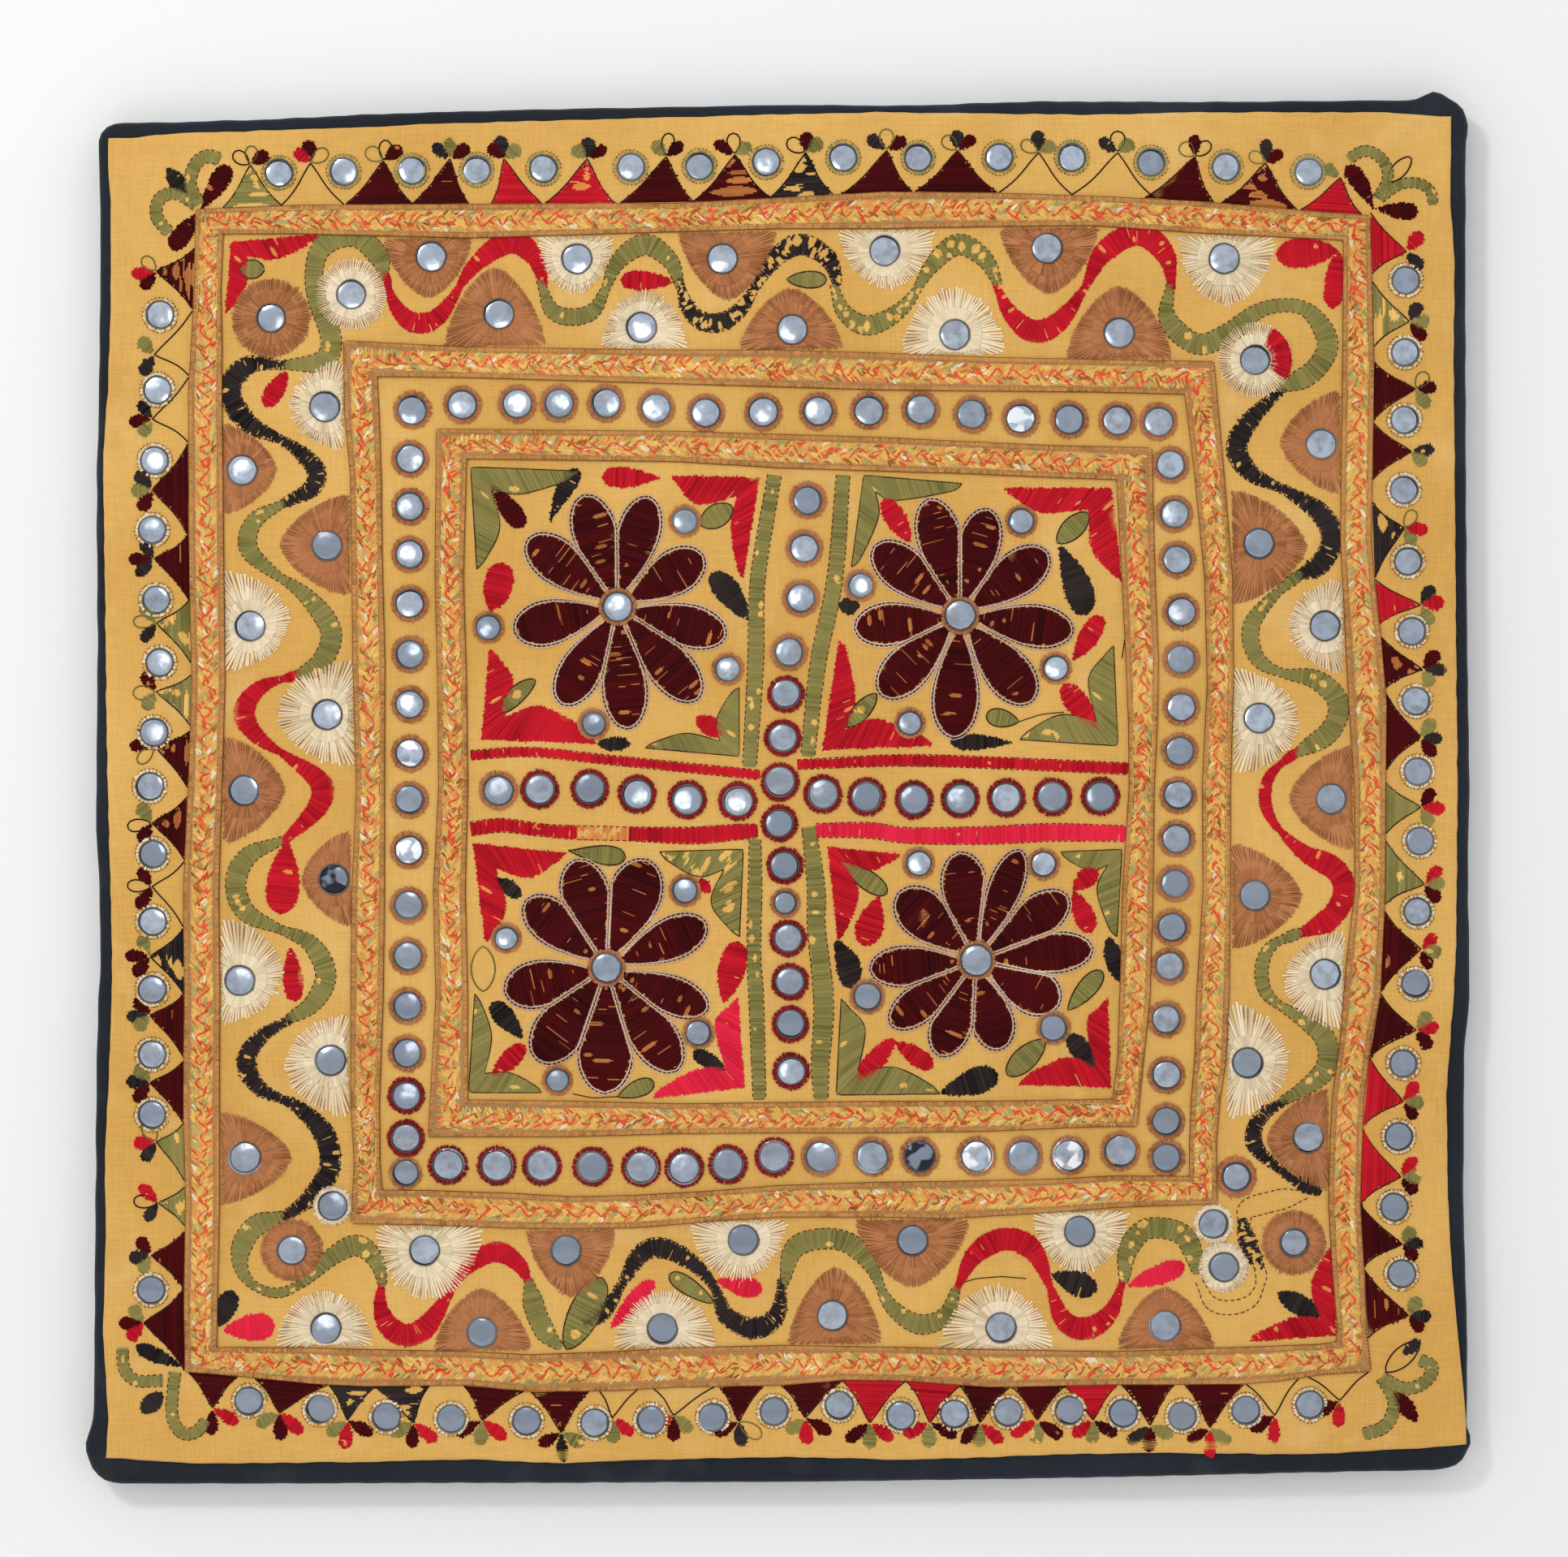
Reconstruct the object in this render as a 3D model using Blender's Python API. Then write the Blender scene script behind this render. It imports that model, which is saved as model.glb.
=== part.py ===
"""Embroidered mirror-work wall hanging on a cloth-covered stretcher frame.

A square of yellow cotton carries mirrors and three rounds of raised braid. It is sewn to a
dark ground cloth that is stretched over four mitred wooden bars and turned onto their backs.
The front faces -Y and the wall is the plane Y = 0. The origin is the middle of the top edge,
where the frame hangs. Places on the face are given as (u, v) in millimetres: u to the right
and v up from the middle of the face, as the hanging's own uneven edges run.
"""

import math

import bmesh
import bpy
from mathutils import Vector
from mathutils.geometry import delaunay_2d_cdt

MM = 0.001

# Heights of the layers in front of the wall plane, in millimetres
CLOTH_THICKNESS = 1.0
FRAME_DEPTH = 20.0
SEAT_GAP = 0.3
PANEL_THICKNESS = 1.2
BRAID_SIDE = 0.5
BRAID_BODY = 0.7
BRAID_CORD = 1.2
MIRROR_RISE = 1.3

# Stretcher and turned-over cloth, in millimetres from the middle of the face
FACE_HALF = 330.0
BAR_INNER_HALF = 292.0
FLAP_INNER_HALF = 301.0
EDGE_ROUNDING = 2.5
BAR_CHAMFER = 1.5
MITRE_CLEAR = 5.0

# The top edge, where the frame hangs, lies this far above the middle of the face
HANG_HEIGHT = 328.8

# Edges of the ground cloth: place along the side, place across it (mm)
GROUND_LEFT = (
    (-300, -331.0), (-240, -330.5), (-150, -329.8), (-110, -329.2), (-90, -328.0), (-70, -327.8),
    (-40, -328.6), (-20, -330.0), (60, -329.2), (150, -329.6), (189, -328.5), (230, -328.0),
    (273, -327.8), (311, -328.6),
)
GROUND_TOP = (
    (-320, 320.2), (-297, 320.3), (-243, 322.0), (-200, 324.3), (-165, 325.4), (-100, 327.0),
    (0, 328.8), (60, 328.5), (120, 330.5), (200, 330.3), (300, 331.0), (318, 331.0),
)
GROUND_RIGHT = (
    (-306, 330.6), (-270, 330.9), (-250, 330.4), (-200, 329.0), (-130, 329.3), (-100, 332.0),
    (-40, 331.2), (0, 331.9), (100, 330.5), (200, 330.0), (311, 330.0),
)
GROUND_BOTTOM = (
    (-310, -335.5), (-100, -335.0), (0, -334.6), (50, -334.0), (100, -333.4), (200, -331.4),
    (280, -329.5), (308, -329.0),
)

# Round corners of the ground cloth, clockwise from the side before each corner (mm)
GROUND_CORNERS = {
    "top_left": ((-327.6, 315.0), (-324.6, 318.4)),
    "top_right": ((325.0, 330.4), (329.6, 326.0), (330.2, 318.0)),
    "bottom_right": ((330.9, -315.0), (329.6, -322.5), (324.5, -327.2), (316.0, -328.8)),
    "bottom_left": ((-320.0, -335.4), (-327.2, -333.2), (-330.4, -328.0), (-331.0, -316.0)),
}

# Bulky folds at the corners: middle of the bulge (u, v), its reach out (u, v), its width (mm)
CORNER_BULGES = (
    ((315.0, 331.0), (0.0, 4.2), 9.0),
    ((-331.0, -318.0), (-4.2, 0.0), 13.0),
    ((331.0, -314.5), (2.2, 0.0), 6.0),
    ((330.5, 318.0), (1.2, 0.0), 8.0),
)

# Edges of the yellow panel: place along the side, place across it (mm)
PANEL_LEFT = (
    (-320, -324.4), (-300, -323.2), (-260, -325.7), (-210, -324.4), (-175, -325.0), (-130, -322.8),
    (-90, -321.5), (-60, -321.8), (30, -324.0), (110, -325.0), (165, -325.7), (200, -323.3),
    (240, -322.0), (290, -322.0), (303, -323.3),
)
PANEL_TOP = (
    (-316, 312.0), (-291, 314.3), (-200, 317.3), (-165, 319.0), (-80, 321.3), (0, 323.5),
    (50, 324.5), (150, 323.3), (200, 324.5), (290, 324.5), (318, 322.6),
)
PANEL_RIGHT = (
    (-312, 329.6), (-300, 329.0), (-280, 326.8), (-240, 323.0), (-200, 320.8), (-150, 320.0),
    (-100, 323.8), (-80, 324.7), (0, 325.4), (100, 324.5), (200, 323.5), (250, 324.0),
    (280, 322.0), (318, 322.4),
)
PANEL_BOTTOM = (
    (-322, -322.3), (-310, -323.0), (-280, -325.0), (-200, -324.2), (-150, -322.9), (-110, -324.8),
    (-60, -323.0), (0, -321.8), (60, -323.2), (130, -320.6), (170, -319.8), (240, -320.5),
    (260, -320.0), (300, -317.6), (328, -315.4),
)

# Braids, one table a side: place along the side, outer edge, inner edge (mm)
BRAIDS = {
    "outer": {
        "left": (
            (-280, -286.0, -271.0), (-250, -286.6, -270.7), (-200, -285.7, -269.7),
            (-150, -286.9, -269.7), (-100, -286.3, -269.5), (-50, -286.9, -270.0),
            (0, -284.5, -268.5), (50, -282.7, -267.0), (100, -284.0, -267.5),
            (190, -284.5, -268.5), (215, -283.0, -268.5), (240, -281.5, -269.0),
            (270, -281.0, -268.0),
        ),
        "top": (
            (-280, 277.5, 266.0), (-230, 279.6, 266.0), (-150, 280.0, 264.0), (-50, 280.5, 267.0),
            (0, 283.0, 268.5), (50, 286.0, 268.5), (100, 285.5, 269.5), (150, 284.0, 270.0),
            (200, 281.5, 266.5), (250, 277.0, 264.0), (285, 274.5, 263.0),
        ),
        "right": (
            (-280, 283.5, 267.0), (-260, 281.3, 267.6), (-230, 280.0, 265.0),
            (-200, 278.3, 263.3), (-170, 279.3, 264.0), (-150, 280.0, 265.0),
            (-120, 283.7, 269.0), (-100, 287.9, 270.5), (-80, 289.0, 272.3),
            (-50, 290.3, 275.9), (0, 290.5, 275.8), (40, 291.0, 273.0), (70, 288.5, 271.5),
            (90, 286.0, 270.5), (120, 283.5, 269.0), (200, 285.0, 270.0), (275, 283.0, 270.5),
        ),
        "bottom": (
            (-284, -280.5, -269.3), (-260, -282.7, -269.0), (-225, -286.3, -269.3),
            (-200, -287.5, -270.0), (-150, -286.9, -271.0), (-120, -290.0, -272.6),
            (-80, -289.6, -271.0), (-50, -287.9, -269.3), (0, -287.0, -268.0),
            (30, -284.4, -268.5), (60, -284.9, -269.0), (100, -287.9, -270.2),
            (160, -286.7, -271.0), (220, -286.5, -269.0), (240, -284.9, -268.3),
            (260, -281.9, -267.5), (284, -280.3, -266.4),
        ),
    },
    "middle": {
        "left": (
            (-205, -206.2, -191.5), (-180, -204.8, -192.6), (-150, -206.5, -192.8),
            (-100, -206.5, -191.0), (-50, -206.0, -190.4), (0, -203.7, -190.4),
            (60, -205.5, -190.2), (110, -206.0, -191.5), (150, -206.7, -192.0),
            (180, -209.5, -193.0), (210, -210.0, -194.0),
        ),
        "top": (
            (-210, 214.5, 197.5), (-150, 211.4, 197.0), (-50, 210.0, 194.0), (0, 210.0, 192.5),
            (50, 208.5, 191.0), (100, 206.5, 190.5), (150, 205.5, 190.0), (208, 204.5, 189.0),
        ),
        "right": (
            (-197, 209.5, 196.5), (-170, 209.3, 196.5), (-150, 211.0, 197.3),
            (-130, 214.0, 199.0), (-100, 215.3, 199.9), (-50, 216.0, 203.0),
            (0, 216.0, 202.6), (50, 217.5, 205.0), (100, 217.0, 203.8), (150, 213.0, 199.0),
            (204, 208.0, 194.2),
        ),
        "bottom": (
            (-206, -209.3, -193.6), (-170, -210.0, -193.6), (-130, -211.5, -195.0),
            (-100, -211.7, -196.7), (-70, -211.4, -196.0), (-30, -208.0, -193.7),
            (0, -206.2, -191.2), (50, -206.3, -189.6), (80, -207.0, -189.3),
            (130, -204.0, -188.3), (160, -201.7, -186.6), (209, -199.7, -187.0),
        ),
    },
    "inner": {
        "left": (
            (-167, -169.2, -150.5), (-150, -168.6, -150.5), (-100, -165.6, -150.5),
            (-50, -166.8, -151.6), (0, -164.3, -150.4), (50, -164.7, -151.0),
            (100, -166.0, -152.5), (171, -165.3, -151.0),
        ),
        "top": (
            (-165, 172.0, 158.0), (-50, 171.0, 156.6), (0, 169.5, 153.6), (50, 168.0, 152.0),
            (90, 166.0, 150.8), (130, 164.2, 149.0), (178, 163.0, 148.0),
        ),
        "right": (
            (-163, 171.0, 159.6), (-150, 172.6, 160.3), (-130, 174.4, 162.0),
            (-100, 177.4, 163.0), (-50, 178.8, 164.3), (0, 179.4, 167.5), (30, 180.8, 167.2),
            (60, 181.4, 166.0), (100, 179.8, 164.0), (163, 178.2, 161.6),
        ),
        "bottom": (
            (-169, -167.7, -150.2), (-100, -167.6, -150.8), (-50, -166.2, -152.0),
            (0, -165.8, -151.4), (50, -165.8, -150.8), (100, -165.0, -150.8),
            (150, -162.9, -150.0), (171, -162.7, -149.8),
        ),
    },
}

# Rows of mirrors: True where the row runs up and down, glass radius, places along it,
# and the row's own line as (along, across) (mm)
MIRROR_ROWS = (
    (False, 6.4, (-241, -210, -177, -146, -114, -72, -39, -7, 30, 66, 105, 140, 178, 214, 253.5),
     ((-241, 295.3), (-40, 298.5), (30, 302.6), (140, 302.6), (253, 295.8))),
    (True, 6.5, (243.6, 209, 176.5, 143, 108.6, 75, 41.5, 7.7, -25.7, -59.7, -94.4, -132.6,
                 -167.7, -201.6, -233.6),
     ((-234, 298.4), (-202, 294.8), (-133, 299.2), (-94, 305.0), (-26, 307.0), (41, 305.2),
      (143, 299.6), (244, 300.4))),
    (True, 6.5, (227, 191, 157, 123.7, 90, 60, 26.5, 0.5, -32, -64.4, -97.1, -128.3, -157.2,
                 -241.4),
     ((-241, -302.6), (-32, -301.6), (0, -303.2), (60, -298.4), (124, -302.0), (227, -298.2))),
    (False, 6.6, (-255.5, -221.5, -189.5, -158.3, -122.1, -89.3, -62.4, -32.4, -3.1, 28.1, 57.7,
                  83.5, 109.2, 138.5, 164.6, 193, 223.5, 254.3),
     ((-255, -294.8), (-190, -302.4), (-90, -305.3), (-32, -302.4), (28, -296.8), (58, -301.8),
      (138, -299.2), (193, -302.0), (254, -296.6))),
    (False, 6.8, (-177, -153, -126.6, -106.6, -84, -60, -36, -8.5, 18, 42.4, 67.3, 92, 115.3,
                  138.7, 161.8, 181.5),
     ((-177, 181.4), (-150, 184.2), (-84, 184.6), (-36, 180.0), (67, 181.4), (115, 177.4),
      (181, 175.8))),
    (True, 6.6, (158, 135, 112, 88.5, 64, 40, 16.4, -5.9, -30, -56.6, -81, -105, -127.5, -148,
                 -168.6),
     ((-186, -180.3), (-100, -179.4), (0, -178.2), (158, -178.2))),
    (True, 6.6, (155, 131.4, 109.6, 84.4, 61.6, 38.6, 17.5, -3.7, -24.6, -46, -67.1, -85.8,
                 -111.2, -138.1, -160.5, -177.9),
     ((-178, 185.3), (-111, 185.3), (-46, 189.5), (40, 192.5), (84, 192.3), (155, 187.4))),
    (False, 7.2, (-159.9, -136.5, -114.7, -90.5, -67.1, -46.4, -25.4, -3.1, 19.1, 44.1, 66.7,
                  94, 116.6, 138.8, 163),
     ((-160, -181.4), (-46, -182.6), (-25, -181.0), (-3, -177.5), (139, -176.8),
      (163, -174.7))),
    (True, 6.6, (138, 115, 91, 65, 44.8, 23.8, -17.2, -37.5, -72.4, -93.3, -113.7, -136.2),
     ((-136, 5.0), (-93, 4.4), (-37, 2.0), (-17, -0.6), (24, 1.0), (65, 4.0), (91, 9.6),
      (138, 13.0))),
    (False, 7.0, (-135.7, -115.8, -91.7, -69, -44.9, -20.7, -0.4, 20.3, 41.3, 64, 86.2, 108.4,
                  130.7, 153.7),
     ((-136, -1.4), (-92, -0.6), (-45, -5.8), (-20, -6.6), (0, 2.8), (20, -3.2), (64, -5.8),
      (154, -4.2))),
)

# Mirrors set alone, in the middle of a motif: u, v, glass radius (mm)
SINGLE_MIRRORS = (
    (-168, 255.0, 7.0), (-98, 254, 7.2), (-28, 254, 7.0), (50, 258, 7.2), (128, 259, 7.0),
    (213, 254, 7.2), (-135.5, 227.5, 7.0), (-67, 221, 7.2), (5.5, 220, 7.0),
    (83.6, 217.6, 7.2), (162.5, 218.4, 7.0), (-245, 225.5, 6.6), (-206.4, 237, 7.0),
    (228, 205.5, 7.0), (-258.8, 152.4, 7.0), (-255, 77.5, 7.2), (-258, -1.5, 7.4),
    (-219, 183, 7.2), (-218, 116, 7.0), (-218, 35, 7.2), (229.8, 117, 7.2),
    (229.8, 33.4, 7.2), (259.8, 165, 7.0), (261.5, 77.6, 7.2), (264.6, -5.4, 7.2),
    (-214.6, -44.1, 6.4), (-259.9, -92.7, 7.0), (-216.2, -131.1, 7.4), (-257.3, -177.6, 7.4),
    (-235, -222.3, 6.8), (-215.3, -200.9, 6.8), (-218.5, -259.6, 7.4), (-171.2, -222.5, 7.4),
    (-143.6, -261.8, 7.0), (-103.1, -222.5, 7.0), (-56.9, -260.1, 7.2), (-17.9, -217.4, 7.2),
    (24.9, -253.7, 7.0), (63.3, -217.7, 7.2), (105.9, -259.6, 7.4), (143.6, -213.2, 7.4),
    (184.7, -258.5, 7.6), (208.1, -209.6, 6.8), (212.9, -230.3, 7.2), (218.9, -187.1, 6.2),
    (246.7, -218.7, 6.0), (227.9, -51.9, 7.0), (261.6, -89.7, 7.4), (224.4, -132.3, 7.6),
    (253.4, -168.2, 7.2),
    (-78.4, 86.8, 7.0), (86.2, 82.6, 7.2), (-83.7, -86.7, 7.0), (93.9, -83.1, 7.4),
    (-46, 128, 5.8), (-25.5, 57, 5.8), (-90, 30.5, 5.6), (-140.5, 77, 5.8),
    (115.5, 128, 5.8), (132, 57.5, 5.8), (62, 31, 5.6), (38, 97, 5.8),
    (-131.9, -72.3, 5.4), (-107.3, -140.6, 5.4), (-39.5, -117.9, 5.8), (-46.1, -49.5, 5.8),
    (66.3, -36.3, 5.8), (41.7, -100.5, 6.4), (131.1, -115.5, 6.2), (126.3, -36.9, 5.8),
    (2.2, -55.4, 5.2), (-180.3, -185.3, 6.0),
)

# A mirror's stitched rim: how far its foot and its crest stand out round the glass (mm)
RIM_FOOT = 1.8
RIM_CREST = 0.4
STUD_SIDES = 8

# Colours as linear values: red, green, blue
WOOD_COLOUR = (0.52, 0.35, 0.18, 1.0)
GROUND_COLOUR = (0.017, 0.026, 0.045, 1.0)
YELLOW_COLOUR = (0.73, 0.40, 0.09, 1.0)
BRAID_COLOUR = (0.72, 0.36, 0.10, 1.0)


def at(u, v, front):
    """The world place of (u, v) on the face, `front` millimetres in front of the wall."""
    return Vector((u * MM, -front * MM, (v - HANG_HEIGHT) * MM))


def along(table, place, column=1):
    """Read a table's column at a place along the side, straight between its rows."""
    if place <= table[0][0]:
        return table[0][column]
    for low, high in zip(table, table[1:]):
        if place <= high[0]:
            share = (place - low[0]) / (high[0] - low[0])
            return low[column] + share * (high[column] - low[column])
    return table[-1][column]


def material(name, colour, roughness):
    """A plain Principled material."""
    made = bpy.data.materials.new(name)
    made.use_nodes = True
    shader = made.node_tree.nodes["Principled BSDF"]
    shader.inputs["Base Color"].default_value = colour
    shader.inputs["Roughness"].default_value = roughness
    shader.inputs["Metallic"].default_value = 0.0
    return made


def add_object(name, mesh_builder, finish):
    """Turn a filled bmesh into a named object with its faces pointing out."""
    bmesh.ops.recalc_face_normals(mesh_builder, faces=mesh_builder.faces)
    mesh = bpy.data.meshes.new(name)
    mesh_builder.to_mesh(mesh)
    mesh_builder.free()
    mesh.materials.append(finish)
    made = bpy.data.objects.new(name, mesh)
    bpy.context.scene.collection.objects.link(made)
    return made


def loft_rings(mesh_builder, rings, close_ring, close_tube):
    """Bridge rings of points into a skin, round each ring and from the last ring to the first."""
    vertex_rings = [[mesh_builder.verts.new(point) for point in ring] for ring in rings]
    pairs = list(zip(vertex_rings, vertex_rings[1:]))
    if close_tube:
        pairs.append((vertex_rings[-1], vertex_rings[0]))
    for low, high in pairs:
        count = len(low)
        steps = count if close_ring else count - 1
        for step in range(steps):
            after = (step + 1) % count
            mesh_builder.faces.new((low[step], low[after], high[after], high[step]))
    return vertex_rings


def cap_from_middle(mesh_builder, ring, middle):
    """Close a ring with triangles from its middle, so that no sliver crosses the face."""
    centre = mesh_builder.verts.new(middle)
    for step in range(len(ring)):
        mesh_builder.faces.new((ring[step - 1], ring[step], centre))


def side_outline(left, top, right, bottom):
    """The four sides of an uneven square as one clockwise list of (u, v), corners left out."""
    points = [(across, place) for place, across in left]
    points += list(top)
    points += [(across, place) for place, across in reversed(right)]
    points += list(reversed(bottom))
    return points


def bulged(point):
    """Push a point of the ground cloth's edge out where a corner fold is bulky."""
    u, v = point
    for (middle_u, middle_v), (reach_u, reach_v), width in CORNER_BULGES:
        nearness = math.exp(-((u - middle_u) ** 2 + (v - middle_v) ** 2) / (2 * (0.5 * width) ** 2))
        u += reach_u * nearness
        v += reach_v * nearness
    return u, v


def ground_outline():
    """The ground cloth's edge without its bulges, and where each corner's middle comes."""
    runs = (
        [(across, place) for place, across in GROUND_LEFT],
        list(GROUND_CORNERS["top_left"]),
        fill_in(GROUND_TOP),
        list(GROUND_CORNERS["top_right"]),
        [(across, place) for place, across in reversed(fill_in(GROUND_RIGHT))],
        list(GROUND_CORNERS["bottom_right"]),
        list(reversed(fill_in(GROUND_BOTTOM))),
        list(GROUND_CORNERS["bottom_left"]),
    )
    points = []
    corners = []
    for run_number, run in enumerate(runs):
        if run_number % 2:
            corners.append(len(points) + len(run) // 2)
        points += run
    return points, corners


def fill_in(table, longest=60.0):
    """A side's rows with one more half way along each long stretch."""
    rows = [table[0]]
    for low, high in zip(table, table[1:]):
        if high[0] - low[0] > longest:
            rows.append(((low[0] + high[0]) / 2, (low[1] + high[1]) / 2))
        rows.append(high)
    return rows


def inset(point, distance):
    """The point moved straight towards the middle of the face."""
    scale = 1 - distance / FACE_HALF
    return point[0] * scale, point[1] * scale


def on_square(point, half):
    """Where the line from the middle of the face to the point crosses a true square."""
    scale = half / max(abs(point[0]), abs(point[1]))
    return point[0] * scale, point[1] * scale


def square_corner(point, half):
    """The corner of a true square on the same side of the middle as the point."""
    return math.copysign(half, point[0]), math.copysign(half, point[1])


def build_ground_cloth(finish):
    """One sheet over the front, round the edges and turned onto the back, as a thick skin."""
    plain, _ = ground_outline()
    edge = [bulged(point) for point in plain]
    rounding = EDGE_ROUNDING
    lean = 0.7
    thick = CLOTH_THICKNESS
    inner_rounding = rounding - thick
    outer_rows = (
        (rounding, FRAME_DEPTH),
        (lean, FRAME_DEPTH - lean),
        (0.0, FRAME_DEPTH - rounding),
        (0.0, rounding),
        (lean, lean),
        (rounding, 0.0),
    )
    inner_rows = (
        (thick + inner_rounding, thick),
        (thick, thick + inner_rounding),
        (thick, FRAME_DEPTH - thick - inner_rounding),
        (thick + inner_rounding, FRAME_DEPTH - thick),
    )
    rings = [[at(*inset(point, back), front) for point in edge] for back, front in outer_rows]
    for front in (0.0, thick):
        rings.append([at(*on_square(point, FLAP_INNER_HALF), front) for point in plain])
    rings += [[at(*inset(point, back), front) for point in edge] for back, front in inner_rows]
    builder = bmesh.new()
    vertex_rings = loft_rings(builder, rings, close_ring=True, close_tube=False)
    cap_from_middle(builder, vertex_rings[0], at(0.0, 0.0, FRAME_DEPTH))
    cap_from_middle(builder, vertex_rings[-1], at(0.0, 0.0, FRAME_DEPTH - thick))
    return add_object("ground_cloth", builder, finish)


def build_bars(finish):
    """Four mitred bars that fill the turned cloth, each with eased outer arrises."""
    plain, corners = ground_outline()
    outer = CLOTH_THICKNESS + SEAT_GAP + 0.1
    near_front = FRAME_DEPTH - CLOTH_THICKNESS - SEAT_GAP
    near_back = CLOTH_THICKNESS + SEAT_GAP
    half_mitre = 0.2
    names = ("bar_top", "bar_right", "bar_bottom", "bar_left")
    directions = ((1, 0), (0, -1), (-1, 0), (0, 1))
    for number, (name, direction) in enumerate(zip(names, directions)):
        first = corners[number]
        last = corners[(number + 1) % 4]
        count = (last - first) % len(plain)
        run = [plain[(first + step) % len(plain)] for step in range(count + 1)]
        start = square_corner(run[0], BAR_INNER_HALF)
        stop = square_corner(run[-1], BAR_INNER_HALF)
        stations = [(run[0], start, half_mitre)]
        for point in run[1:-1]:
            inner = on_square(point, BAR_INNER_HALF)
            if min(math.dist(inner, start), math.dist(inner, stop)) > MITRE_CLEAR:
                stations.append((point, inner, 0.0))
        stations.append((run[-1], stop, -half_mitre))
        rings = []
        for point, inner, shift in stations:
            profile = [
                (inset(point, outer), near_front - BAR_CHAMFER),
                (inset(point, outer + BAR_CHAMFER), near_front),
                (inner, near_front),
                (inner, near_back),
                (inset(point, outer + BAR_CHAMFER), near_back),
                (inset(point, outer), near_back + BAR_CHAMFER),
            ]
            rings.append([
                at(u + shift * direction[0], v + shift * direction[1], front)
                for (u, v), front in profile
            ])
        builder = bmesh.new()
        vertex_rings = loft_rings(builder, rings, close_ring=True, close_tube=False)
        builder.faces.new(vertex_rings[0])
        builder.faces.new(vertex_rings[-1])
        add_object(name, builder, finish)


def mirror_places():
    """Every mirror as (u, v, glass radius)."""
    places = []
    for upright, radius, stops, line in MIRROR_ROWS:
        for stop in stops:
            across = along(line, stop)
            u, v = (across, stop) if upright else (stop, across)
            places.append((u, v, radius))
    return places + list(SINGLE_MIRRORS)


def build_panel(finish):
    """The yellow cloth, flat, with a low eight-sided stud for each mirror and its rim."""
    outline = side_outline(PANEL_LEFT, PANEL_TOP, PANEL_RIGHT, PANEL_BOTTOM)
    back = FRAME_DEPTH + SEAT_GAP
    face = back + PANEL_THICKNESS
    points = [Vector(point) for point in outline]
    fronts = [face] * len(outline)
    loops = [list(range(len(outline)))]
    for u, v, radius in mirror_places():
        for reach, rise in ((radius + RIM_FOOT, 0.0), (radius + RIM_CREST, MIRROR_RISE)):
            loops.append(list(range(len(points), len(points) + STUD_SIDES)))
            for side in range(STUD_SIDES):
                turn = math.tau * (side + 0.5) / STUD_SIDES
                points.append(Vector((u + reach * math.cos(turn), v + reach * math.sin(turn))))
                fronts.append(face + rise)
    edges = [(loop[step - 1], loop[step]) for loop in loops for step in range(len(loop))]
    found, _, faces, sources, _, _ = delaunay_2d_cdt(points, edges, [loops[0]], 1, 1e-5)
    if len(found) != len(points):
        raise ValueError("two mirrors overlap on the panel")
    builder = bmesh.new()
    vertices = [
        builder.verts.new(at(point.x, point.y, fronts[source[0]]))
        for point, source in zip(found, sources)
    ]
    for corners in faces:
        builder.faces.new([vertices[corner] for corner in corners])
    rim = {source[0]: vertex for vertex, source in zip(vertices, sources)}
    front_ring = [rim[place] for place in loops[0]]
    back_ring = [builder.verts.new(at(u, v, back)) for u, v in outline]
    for step in range(len(outline)):
        builder.faces.new((front_ring[step - 1], front_ring[step], back_ring[step], back_ring[step - 1]))
    cap_from_middle(builder, back_ring, at(0.0, 0.0, back))
    return add_object("embroidered_panel", builder, finish)


def braid_corner(sides, first, second, column):
    """Where two sides of a braid meet: u from the upright side, v from the level one."""
    level, upright = (first, second) if first in ("top", "bottom") else (second, first)
    u_end = 1 if upright == "right" else -1
    v_end = 1 if level == "top" else -1
    u = sides[upright][-1 if v_end > 0 else 0][column]
    v = sides[level][-1 if u_end > 0 else 0][column]
    return u, v


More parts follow.
